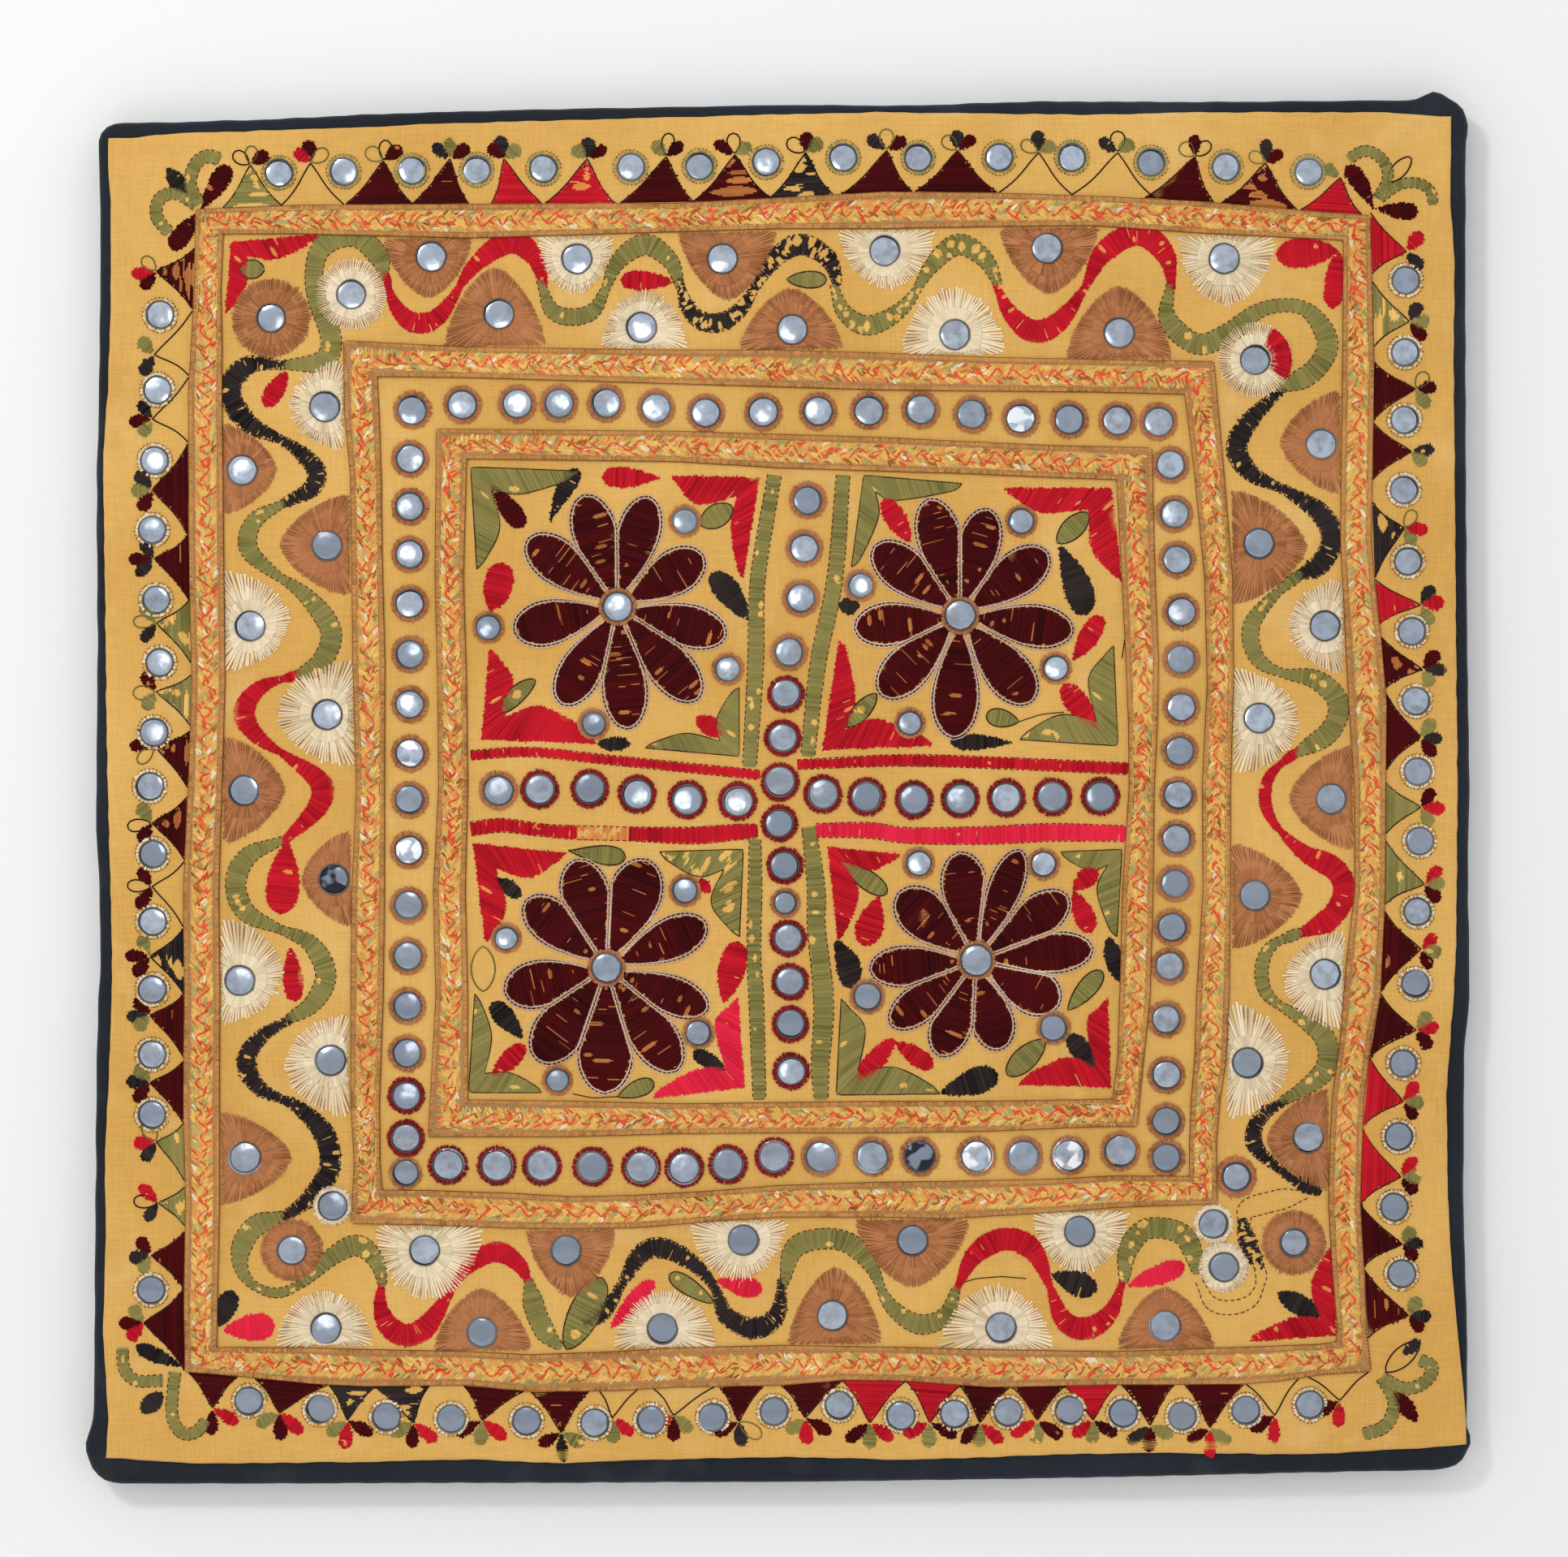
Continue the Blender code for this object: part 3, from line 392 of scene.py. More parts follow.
# Single leaves and drops: thread, root, tip, width, share of the length where it is widest, bow
LEAVES = (
    ("maroon", (-141, 148), (-123.6, 125), 10, 0.72, 0),
    ("black", (-111.3, 127), (-97.6, 153.3), 9, 0.72, 1),
    ("red", (-56.6, 148.6), (-86, 149.3), 10, 0.70, 0),
    ("green", (-38.5, 126), (-23, 135), 11, 0.5, 0),
    ("black", (-15.8, 80.3), (-33.3, 103.2), 12, 0.62, -1),
    ("red", (-40.6, 33.8), (-27.6, 25), 9, 0.5, 0),
    ("black", (-88, 21), (-72, 21), 7, 0.5, 0), ("green", (-134, 36), (-118, 52), 8, 0.5, 1),
    ("red", (-138.8, 84), (-133.3, 108), 14, 0.6, 0),
    ("red", (62.3, 118), (49.3, 138.6), 10, 0.6, 0),
    ("green", (133, 117.5), (148, 132), 10, 0.5, 0),
    ("black", (133.5, 117.6), (147, 82.8), 14, 0.68, 1),
    ("red", (140.3, 60.4), (154.5, 82.4), 10, 0.65, 0),
    ("red", (152.7, 27), (135.6, 49.6), 11, 0.6, 0),
    ("green", (114.5, 31.6), (98.9, 34.7), 8.6, 0.62, 0),
    ("black", (112.7, 21.5), (81.7, 22), 8, 0.7, 0),
    ("green", (32, 29), (46, 45), 8, 0.5, 0), ("black", (38, 87), (28, 87.8), 9, 0.5, 0),
    ("green", (-102, -30.5), (-74.6, -33.6), 9, 0.7, 0),
    ("black", (-136.8, -43.5), (-124.7, -52.4), 7, 0.6, 0),
    ("black", (-123.6, -120.8), (-138.8, -103.3), 10, 0.65, 0),
    ("red", (-138.3, -138.5), (-123, -123.7), 9, 0.6, 0),
    ("green", (-78.5, -148.7), (-61, -141.7), 8, 0.65, 0),
    ("black", (-26.5, -136), (-42, -127), 8, 0.6, 0),
    ("red", (-27.6, -103.6), (-20.2, -74), 13.5, 0.62, 0),
    ("red", (-38.6, -43.8), (-34.6, -50.8), 6, 0.5, 0),
    ("green", (28.6, -35.5), (51, -51), 9, 0.62, 0),
    ("red", (47.6, -51.5), (39.9, -76), 13, 0.66, 0),
    ("black", (26.6, -73.4), (34, -96.4), 12, 0.62, 2),
    ("red", (35.8, -141.6), (55, -120.4), 9.5, 0.5, 0),
    ("red", (55, -122.2), (73.2, -134.8), 9, 0.62, 0),
    ("black", (75.7, -147), (104.4, -137.7), 13, 0.68, 0),
    ("green", (109, -138.2), (127, -121.4), 11, 0.45, 0),
    ("green", (138, -107), (154.4, -88.3), 9, 0.62, 0),
    ("black", (151, -134.3), (138.5, -118.7), 10, 0.55, 0),
    ("red", (140.6, -49.3), (152, -39.2), 9, 0.6, 0),
    ("red", (140.6, -49.8), (149.3, -69.8), 10, 0.62, 0),
    ("black", (157.4, -72), (163.3, -93.4), 9, 0.5, 0),
    ("red", (-51, 243.0), (-77, 244.0), 9.5, 0.65, 0), ("green", (3, 244), (22, 244), 8, 0.6, 0),
    ("red", (-237, 200), (-248, 183), 9, 0.6, 0),
    ("red", (-237.1, -24.9), (-240.7, -60.9), 16, 0.65, 0),
    ("red", (-235.7, -76.5), (-233.5, -102.9), 10, 0.65, 0),
    ("green", (-260, 249), (-248, 249), 9, 0.5, 0),
    ("black", (-270.1, -259.7), (-263.5, -241.7), 10, 0.65, 0),
    ("pink", (-268.3, -260.9), (-243.1, -258.5), 13, 0.65, 0),
    ("pink", (-82.7, -260.9), (-61.1, -236.9), 9, 0.65, 0),
    ("green", (-53.3, -233.9), (-32.3, -247.7), 8, 0.35, 0),
    ("pink", (-31.1, -236.9), (-9, -241.7), 10, 0.65, 0),
    ("black", (129.9, -233.9), (152, -241.7), 12, 0.65, 0),
    ("pink", (166.4, -239.6), (194.3, -229.7), 10, 0.65, 0),
    ("black", (238.7, -242.9), (259.7, -254.3), 10, 0.5, 0),
    ("red", (268, 258), (238, 256), 14, 0.6, 0), ("red", (268, 258), (265, 230), 10, 0.6, 0),
    ("green", (-103, -270), (-85.7, -235.7), 15, 0.55, 0),
    # Where the four corners of the outer border meet
    ("maroon", (-279, 277), (-265, 299), 9.5, 0.68, 0),
    ("maroon", (-279, 277), (-293, 258.5), 9.5, 0.68, 0),
    ("black", (-295, 297.5), (-285.5, 285.5), 8, 0.5, 0),
    ("maroon", (285, 278), (272, 299), 8.5, 0.68, -1),
    ("maroon", (285, 278), (306.5, 276.5), 8.5, 0.70, 0),
    ("black", (-287, -278.6), (-309.9, -268.5), 7.5, 0.68, 0),
    ("black", (-307.3, -300.5), (-297, -291), 9, 0.5, 0),
    ("maroon", (294.5, -290.3), (305.9, -304.6), 8, 0.5, 0),
    ("black", (299.5, -272.2), (307.5, -265.4), 6, 0.5, 0),
)

# Leaves that are only outlined: thread, root, tip, width
OUTLINED_LEAVES = (
    ("green", (-143, -76.4), (-143, -98), 11.5),
    ("black", (292, 291), (303, 303), 7), ("black", (290.9, -280.7), (307, -266.3), 9),
)

# Narrow green curls of stitches where the borders' corners meet: points, width
CURLS = (
    (((-279.5, 280), (-284, 290), (-281, 300), (-275, 303.5), (-269.5, 301.5)), 5.5),
    (((-281, 280), (-290.5, 285.5), (-298.5, 283), (-300, 274.5), (-294, 266.5)), 5.2),
    (((287, 283), (292, 293), (289, 302), (281, 306), (273, 302)), 4.6),
    (((288, 283), (297, 289.5), (306, 290.5), (312.5, 286.5), (313.5, 280)), 4.2),
    (((-297, -285), (-310, -285), (-315.7, -278.9), (-316.3, -269.3)), 5),
    (((-291, -281), (-292.3, -292), (-292.3, -303),
        (-287.5, -310.6), (-280.3, -309.4), (-276.1, -304)), 5),
    (((289, -283.5), (295, -295), (291, -306.5), (280, -311)), 5.5),
    (((289, -283.5), (300, -289), (310, -285.5), (313.4, -278.4), (307, -275)), 5.2),
)

# Stripes beside the middle cross: thread, how worn, then points as (u, v, width)
STRIPES = (
    ("red", 0.10, ((-149, 15.5, 4), (-120, 17, 4), (-80, 13, 4), (-10, 6, 4))),
    ("red", 0.10, ((8, 11, 4), (60, 13, 5), (110, 11.5, 5), (167, 9, 5))),
    ("red", 0.25, ((-149, -20, 6), (-134, -18.2, 6), (-115, -20.5, 5.5), (-98, -21.8, 6))),
    ("orange", 0.80, ((-98, -21.8, 6), (-85, -22, 6), (-73, -22.3, 6))),
    ("red", 0.15, ((-73, -22.3, 6), (-43, -23.1, 7.5), (-22, -21.5, 7), (-11, -20.8, 6))),
    ("pink", 0.08, ((17, -20.7, 6), (42, -20.6, 7), (62, -23.1, 7),
        (100, -23, 8), (130, -21.6, 8), (166, -22.2, 7))),
    ("green", 0.10, ((-3, 150, 6), (-11, 100, 6.5), (-12, 60, 7), (-15, 10, 6))),
    ("green", 0.10, ((30, 150, 6), (26, 100, 7), (18, 60, 7), (13, 15, 6))),
    ("green", 0.10, ((-12.3, -25, 5), (-12.3, -49, 6),
        (-12.9, -79, 6), (-11.7, -103, 6.5), (-10.2, -150, 5.5))),
    ("green", 0.10, ((13.5, -19, 6), (17.1, -49, 8), (17.1, -67, 8),
        (20.7, -103, 9), (19, -133, 8), (19.5, -150, 6))),
)

# The wavy band between the outer two braids: thread, how worn, points as (u, v). It is widest
# where it turns and narrow where it crosses the middle of its run
WAVES = (
    ("green", 0.10, ((-237, 203), (-220, 205), (-216, 216), (-224, 240),
        (-221, 259), (-205, 265), (-193, 255), (-191, 246))),
    ("red", 0.15, ((-190, 246), (-186, 233), (-178, 224), (-168, 224),
        (-159, 233), (-148, 250), (-131, 262), (-119, 256), (-114, 243))),
    ("green", 0.10, ((-115, 242), (-110, 229), (-100, 226), (-90, 229),
        (-84, 240), (-78, 253), (-65, 261), (-53, 253), (-49, 243))),
    ("black", 0.55, ((-49, 243), (-43, 228), (-32, 223), (-20, 229),
        (-10, 244), (-2, 255), (10, 261), (23, 254), (27, 243))),
    ("green", 0.35, ((26, 240), (30, 229), (40, 222), (51, 225),
        (62, 234), (72, 250), (85, 261), (98, 254), (104, 243))),
    ("red", 0.30, ((104, 240), (111, 227), (122, 219), (134, 224),
        (146, 240), (155, 257), (172, 266), (185, 256), (188, 241))),
    ("green", 0.08, ((187, 240), (186, 225), (200, 213), (215, 218),
        (232, 230), (252, 230), (263, 214), (256, 200), (241, 192))),
    ("black", 0.25, ((241, 191), (228, 179), (219, 164), (226, 151),
        (244, 142), (260, 131), (265, 119), (259, 107), (249, 102))),
    ("green", 0.10, ((249, 102), (236, 91), (226, 77), (229, 62),
        (241, 55), (257, 52), (268, 41), (264, 27), (249, 17))),
    ("red", 0.12, ((248, 17), (236, 7), (232.7, -5), (237, -17), (251, -31),
        (266, -39), (271, -50), (264, -63), (250, -70))),
    ("green", 0.08, ((249, -70), (236, -76), (231, -88), (235, -101),
        (252, -112), (262, -121), (262, -135), (251, -145), (242, -150))),
    ("black", 0.22, ((242, -151), (231, -158), (227, -169), (233, -178), (247, -188), (258, -194))),
    (None, 0.0, ((251, -196), (236, -199), (224, -203), (223, -210))),
    ("black", 0.70, ((222, -209), (225, -220), (229.7, -230))),
    (None, 0.0, ((202, -239), (207, -248), (217, -250), (227, -246), (231, -236), (230, -231))),
    ("green", 0.15, ((-240.7, -206), (-254, -212), (-260, -225), (-256, -237), (-243, -243),
        (-230, -238), (-215, -225), (-203, -220), (-194, -228), (-191.5, -238))),
    ("red", 0.15, ((-192, -240), (-192.5, -249), (-189, -258), (-182, -263), (-174, -262),
        (-167, -255), (-160, -244), (-151, -231), (-137, -223), (-126, -229), (-122, -236))),
    ("green", 0.10, ((-121, -238), (-118, -251), (-113, -262), (-107, -268))),
    ("black", 0.25, ((-93.5, -257), (-84, -251), (-75.5, -237), (-68, -225), (-58, -221),
        (-43, -228), (-32, -240), (-26, -254), (-13, -260), (-2, -254), (1, -237))),
    ("green", 0.10, ((2, -237), (6, -222), (18, -217), (33, -219),
        (44, -231), (52, -248), (66, -258), (79, -254), (84, -242))),
    ("red", 0.12, ((85, -240), (93, -225), (107, -217), (121, -222),
        (129, -239), (136, -256), (147, -260), (158, -253), (164, -239))),
    ("green", 0.20, ((165, -236), (167, -222), (176, -212),
        (192, -214), (198, -223), (199.7, -232))),
    ("black", 0.22, ((-240, 203), (-256, 203), (-265, 191), (-256, 175),
        (-238, 166), (-224, 154), (-225, 144), (-238, 137))),
    ("green", 0.12, ((-240, 136), (-253, 128), (-256, 115), (-245, 104),
        (-228, 92), (-216, 75), (-221, 60), (-232, 54))),
    ("red", 0.15, ((-233, 54), (-250, 48), (-258, 36), (-251, 24),
        (-236, 14), (-221, 2), (-223, -10), (-238, -25))),
    ("green", 0.10, ((-241, -26), (-256, -33), (-262, -46), (-257, -60),
        (-241, -68), (-226, -75), (-218.5, -90), (-225, -104), (-236, -111))),
    ("black", 0.25, ((-237, -112), (-250, -120), (-257, -132), (-250, -145),
        (-233, -153), (-219, -167), (-217, -184), (-226, -197), (-238, -206))),
)

# Half discs of spokes round a mirror: thread, flat side, mirror, span, reach, flat edge (mm)
HALF_MOONS = (
    ("tan", "up", (-168, 255), (-191, -148), 235, 264),
    ("cream", "up", (-98, 254), (-117, -80), 237, 265),
    ("tan", "up", (-28, 254), (-49, -2), 234, 267), ("cream", "up", (50, 258), (28, 74), 240, 268),
    ("tan", "up", (128, 259), (105, 153), 237, 269),
    ("cream", "up", (213, 254), (191, 238), 232, 265),
    ("tan", "down", (-135.5, 227.5), (-162, -113), 250, 212),
    ("cream", "down", (-67, 221), (-86, -45), 239, 211),
    ("tan", "down", (5.5, 220), (-20, 30), 240, 210.5),
    ("cream", "down", (83.6, 217.6), (58, 108), 240, 208),
    ("tan", "down", (162.5, 218.4), (137, 188), 241, 206),
    ("tan", "left", (-258.8, 152.4), (131, 175), -242, -268),
    ("cream", "left", (-255, 77.5), (56, 104), -236, -267.5),
    ("tan", "left", (-258, -1.5), (-27, 25), -238, -268),
    ("cream", "left", (-259.9, -92.7), (-113.7, -63), -239.5, -269),
    ("tan", "left", (-257.3, -177.6), (-200.3, -156), -234.7, -269),
    ("cream", "right", (-219, 183), (162, 205), -236, -210),
    ("tan", "right", (-218, 116), (92, 141), -241, -207),
    ("cream", "right", (-218, 35), (10, 61), -242, -205),
    ("tan", "right", (-214.6, -44.1), (-67, -20.7), -230.5, -206.5),
    ("cream", "right", (-216.2, -131.1), (-158, -109), -238.3, -207.5),
    ("cream", "down", (-218.5, -259.6), (-242.5, -196.4), -241.7, -268.7),
    ("tan", "down", (-143.6, -261.8), (-167.2, -119.9), -240.5, -270.5),
    ("cream", "down", (-56.9, -260.1), (-80.3, -31.1), -241.7, -269.5),
    ("tan", "down", (24.9, -253.7), (3.4, 48.9), -230.3, -267.5),
    ("cream", "down", (105.9, -259.6), (76.5, 130.5), -239.3, -270),
    ("tan", "down", (184.7, -258.5), (161.6, 208.1), -239.9, -269.5),
    ("cream", "up", (-171.2, -222.5), (-195, -142.7), -246.5, -210.5),
    ("tan", "up", (-103.1, -222.5), (-122.3, -79.1), -245.3, -212.5),
    ("cream", "up", (-17.9, -217.4), (-43.7, 2.4), -236.9, -208),
    ("tan", "up", (63.3, -217.7), (35.7, 90.9), -240.5, -207.5),
    ("cream", "up", (143.6, -213.2), (120.9, 167.6), -233.3, -203.5),
    ("tan", "left", (229.8, 117), (88, 143), 253, 217),
    ("cream", "left", (229.8, 33.4), (6, 57), 249, 217.5),
    ("tan", "left", (227.9, -51.9), (-77.7, -26.7), 250.7, 217),
    ("cream", "left", (224.4, -132.3), (-159.2, -102.9), 244.1, 214.7),
    ("tan", "right", (259.8, 165), (141, 191), 240, 269),
    ("cream", "right", (261.5, 77.6), (55, 100), 244, 270.5),
    ("tan", "right", (264.6, -5.4), (-30.3, 20), 244.1, 275),
    ("cream", "right", (261.6, -89.7), (-116.7, -69.3), 241.7, 271),
    ("tan", "right", (253.4, -168.2), (-193.7, -144.8), 233.3, 263.3),
)

# Whole discs of spokes round a mirror: thread, mirror, reach (mm)
SUNS = (
    ("tan", (-245, 225.5), 19), ("cream", (-206.4, 237), 17), ("cream", (228, 205.5), 18),
    ("tan", (-235, -222.3), 15), ("cream", (-215.3, -200.9), 9.5), ("tan", (246.7, -218.7), 15.5),
    ("cream", (208.1, -209.6), 9.5), ("cream", (212.9, -230.3), 12), ("tan", (218.9, -187.1), 10),
)

# Teeth of the outer border, one table a side: from and to along the braid, tip along and across,
# thread, how worn, and its sprig's three petals by letter: small letters are outlined
# only. A tooth with no thread is outlined
TEETH = {
    "top": (
        (-268, -240, -255, 299, "green", 0.6, "kgM"), (-240, -210, -226, 300, None, 0, "RMg"),
        (-209, -177, -191, 301, "maroon", 0.1, "gkM"),
        (-177, -150, -159, 302, "maroon", 0.1, "KGM"),
        (-139, -115, -133, 302, "red", 0.15, "MKG"), (-113, -80, -93, 302, "red", 0.5, "GKM"),
        (-77, -42, -55, 303, "maroon", 0.15, "GkM"), (-42, -5, -22, 304, "maroon", 0.9, "MkG"),
        (-5, 25, 12, 305, "black", 0.6, "kMG"), (30, 63, 51, 306, "maroon", 0.1, "KgM"),
        (65, 104, 85, 306, "maroon", 0.1, "gKM"), (105, 140, 124, 305, None, 0, "yKG"),
        (140, 180, 162, 305, None, 0, "KkG"), (175, 208, 199, 303, "maroon", 0.12, "gMk"),
        (212, 248, 233, 300, "maroon", 0.7, "gKM"), (250, 279, 269, 293, "red", 0.1, "G--"),
    ),
    "left": (
        (230, 259, 248, -300, "maroon", 0.7, "gRM"), (198, 229, 208, -301, None, 0, "G-K"),
        (166, 197, 177, -302, None, 0, "KMG"), (121, 165, 143, -302, "maroon", 0.08, "KGM"),
        (90, 121, 110, -301, "maroon", 0.1, "KMK"), (60, 90, 79, -300, "green", 0.6, "GyK"),
        (30, 54, 46, -300, "green", 0.6, "MgG"), (0, 27, 20, -301, "maroon", 0.4, "MMg"),
        (-34.5, -4.6, -17.1, -302, "maroon", 0.5, "GkM"),
        (-66.9, -35.7, -47.7, -302, None, 0, "MkM"),
        (-99.3, -68, -81.3, -303, "black", 0.5, "GMM"),
        (-129.3, -99.3, -109.5, -303, "maroon", 0.1, "MKG"),
        (-161, -131.7, -141.8, -303, "maroon", 0.15, "GKM"),
        (-189, -161.6, -170.4, -300, "green", 0.1, "gRK"),
        (-210.5, -192, -199.7, -299, "green", 0.3, "RkK"),
        (-240.5, -213.5, -224.9, -302.5, "maroon", 0.1, "MKG"),
        (-280, -241, -257.3, -306.1, "maroon", 0.1, "GMR"),
    ),
    "right": (
        (247, 276, 257.5, 300.6, "red", 0.1, "R-K"), (212, 243, 224, 302, "green", 0.7, "KGM"),
        (177, 204, 191.5, 305, "maroon", 0.1, "gMG"), (148, 175, 161.5, 303, "maroon", 0.1, "-KG"),
        (101, 137, 124.6, 299.7, "black", 0.6, "gRG"), (79, 99.7, 87.7, 307.5, "red", 0.1, "KRG"),
        (48, 72, 56.8, 308.3, "maroon", 0.4, "MKG"), (8.7, 44.8, 24.2, 307.5, "maroon", 0.1, "GKM"),
        (-22, 2, -9.4, 307.6, "green", 0.1, "MRG"), (-56, -26, -46.5, 309.4, "green", 0.15, "RGM"),
        (-98, -59.7, -77.7, 307.6, "maroon", 0.1, "RGM"),
        (-129.3, -99.3, -116.7, 305.2, "maroon", 0.1, "GRM"),
        (-162.2, -129.9, -150.8, 299.2, "red", 0.1, "RGM"),
        (-199.7, -165.2, -187.1, 298, "red", 0.1, "RGM"),
        (-229.7, -201, -219.5, 298.6, "maroon", 0.1, "GKM"),
        (-264.5, -232, -253.7, 301.7, "maroon", 0.1, "GKM"),
    ),
    "bottom": (
        (-284.5, -261.1, -273.1, -298.1, "maroon", 0.1, "-MR"),
        (-252.7, -217.9, -241, -300.5, "maroon", 0.1, "GMR"),
        (-217, -195, -208.3, -304, "black", 0.5, "GRM"),
        (-195, -169, -176.6, -305.3, "black", 0.5, "GMR"),
        (-152.3, -123.5, -143.6, -304, "maroon", 0.1, "MGR"),
        (-119.9, -92.3, -105.5, -310, "maroon", 0.2, "MKG"),
        (-87, -69, -81, -303, None, 0, "KGR"), (-61, -32, -51.5, -301.7, None, 0, "RMG"),
        (-29.3, -8.4, -20.3, -304.6, "maroon", 0.1, "MKy"),
        (0.4, 29.7, 11.8, -302.9, "maroon", 0.4, "GRM"),
        (29.7, 59.7, 42.9, -305.2, "red", 0.15, "MGR"),
        (60.9, 86.1, 71.7, -305.2, "red", 0.1, "RGM"),
        (86.1, 110, 95.7, -305.2, "maroon", 0.1, "MGR"),
        (111.3, 136.5, 123.3, -304, "maroon", 0.1, "RGM"),
        (136.5, 161.6, 150.2, -304, "red", 0.1, "RGM"),
        (164, 189, 177.6, -306.5, "maroon", 0.1, "KMG"),
        (194.3, 222.5, 206.3, -307.6, "maroon", 0.1, "MRG"),
        (223.7, 248.9, 237.5, -301.7, None, 0, "MR-"),
        (253.7, 282.5, 268.7, -294.5, None, 0, "MR-"),
    ),
}

# The way the petals on each side head (degrees) and their length, and the letters' threads
SPRIG_LIE = {"top": (90, 10.0), "left": (180, 11.0), "right": (0, 10.5), "bottom": (-90, 13.0)}
SPRIG_COLOURS = {"M": "maroon", "R": "red", "G": "green", "K": "black", "Y": "green"}

# The strands along the middle of a braid: level across its width and slant (degrees), then how
# much of each colour is in them, and how far apart they are in steps of the braid's edge
BRAID_STRANDS = ((0.27, 38), (0.42, 32), (0.58, -32), (0.73, -38))
BRAID_MIX = (
    ("gold", 0.42), ("orange", 0.22), ("sage", 0.13), ("rust", 0.11), ("coral", 0.07),
    ("cream", 0.05),
)
BRAID_STRAND_STEP = 1.25

# Single lines of laid thread: thread, points
LINES = (
    ("dark_brown", ((-102, -30), (-92, -32))),
    ("dark_brown", ((-100, -147.2), (-90, -149.3), (-78, -148.5))),
    ("dark_brown", ((114.5, 31.6), (125.3, 35.2), (136.2, 36.2))),
    ("dark_brown", ((166, 75), (164, 62))),
    ("dark_brown", ((84, -239), (94, -236), (106, -235), (118, -236))),
)

# A small orange spot of satin stitch: foot, tip, width
SPOT = ((68.7, -67.2), (68.7, -58.2), 5)

# Red spokes over part of one disc: its middle, from and to (degrees), how many, near and far
RED_SPOKES = ((228, 205.5), -30, 58, 26, 8.0, 17.6)

# Mirrors that do not look like the rest: place, and -1 for lost silver or 2 for white patches that
# are painted glints
ODD_MIRRORS = (
    (66.7, -178, -1.0), (94, -178, 2.0), (138.8, -178, 2.0), (-176, -30, 2.0),
    (-176, 16.4, 2.0), (116, 178, 2.0), (-214.6, -44.1, -1.0),
)


def all_at(u, v, front):
    """The world places of points on the face, `front` millimetres in front of the wall."""
    u, v, front = np.broadcast_arrays(np.asarray(u, float), v, front)
    return np.stack((u * MM, -front * MM, (v - HANG_HEIGHT) * MM), axis=-1)


def along(table, place):
    """What a table says at places along a side, straight between its rows."""
    return np.interp(place, [row[0] for row in table], [row[1] for row in table])


def run_of(points):
    """How far along a path each of its points lies."""
    return np.concatenate(([0.0], np.cumsum(np.linalg.norm(np.diff(points, axis=0), axis=1))))


def even_path(points, step):
    """The same path with its points an even step apart."""
    points = np.asarray(points, float)
    run = run_of(points[:, :2])
    places = np.linspace(0, run[-1], max(2, int(round(run[-1] / step)) + 1))
    return np.stack([np.interp(places, run, column) for column in points.T], axis=1)


def smooth_path(points, step):
    """A soft curve through the points, laid out evenly, with every column carried along."""
    points = np.asarray(points, float)
    if len(points) > 2:
        ends = np.vstack((2 * points[0] - points[1], points, 2 * points[-1] - points[-2]))
        finer = []
        for before, here, after, beyond in zip(ends, ends[1:], ends[2:], ends[3:]):
            for share in np.linspace(0, 1, 8, endpoint=False):
                finer.append(0.5 * (
                    2 * here + (after - before) * share
                    + (2 * before - 5 * here + 4 * after - beyond) * share ** 2
                    + (3 * here - before - 3 * after + beyond) * share ** 3
                ))
        points = np.array(finer + [points[-1]])
    return even_path(points, step)


def sideways(path):
    """Unit directions to the left of a path at each of its points."""
    ahead = np.gradient(path[:, :2], axis=0)
    ahead /= np.maximum(np.linalg.norm(ahead, axis=1, keepdims=True), 1e-9)
    return np.stack((-ahead[:, 1], ahead[:, 0]), axis=1)


def directions(turn):
    """Unit directions at headings in radians."""
    return np.stack((np.cos(turn), np.sin(turn)), axis=1)


def ripple(u, v, seed, longest):
    """Soft unevenness between about -1 and 1 over the face, from six waves of many directions."""
    pick = np.random.default_rng(seed)
    waves = 6
    total = 0.0
    for _ in range(waves):
        heading = pick.uniform(0, math.tau)
        wave_rate = math.tau / (longest * pick.uniform(0.3, 1.0))
        start = pick.uniform(0, math.tau)
        total = total + np.sin(wave_rate * (u * math.cos(heading) + v * math.sin(heading)) + start)
    return total / (0.7 * waves)


def cloth_rise(u, v):
    """How far the yellow cloth stands in front of the wall, with its soft puckers."""
    return PANEL_FACE + 0.16 * ripple(u, v, 3, 42.0) + 0.07 * ripple(u, v, 4, 14.0)


def above_cloth(path, front):
    """How far a height in front of the wall lies above the yellow cloth, along a path."""
    return front - cloth_rise(path[:, 0], path[:, 1])


def linked(name, content):
    """A named object in the scene that holds a mesh, a lamp or a camera."""
    piece = bpy.data.objects.new(name, content)
    bpy.context.scene.collection.objects.link(piece)
    return piece


def add_piece(name, places, faces, finish=None, smooth=True):
    """A named object from places (metres) and faces."""
    mesh = bpy.data.meshes.new(name)
    mesh.from_pydata(np.asarray(places, float).tolist(), [], faces, shade_flat=not smooth)
    if finish:
        mesh.materials.append(finish)
    return linked(name, mesh)


def grid_faces(rows, count, closed):
    """Quads between rows of points, each row `count` long and closed into a ring if asked."""
    faces = []
    for low in range(0, (rows - 1) * count, count):
        for step in range(count if closed else count - 1):
            after = (step + 1) % count
            faces.append((low + step, low + after, low + count + after, low + count + step))
    return faces


def fan_faces(ring, middle):
    """Triangles that close a ring of point numbers from a middle point."""
    return [(ring[step - 1], ring[step], middle) for step in range(len(ring))]


def turned_out(piece):
    """Turn all the piece's faces outward."""
    builder = bmesh.new()
    builder.from_mesh(piece.data)
    bmesh.ops.recalc_face_normals(builder, faces=builder.faces)
    builder.to_mesh(piece.data)
    builder.free()
    return piece


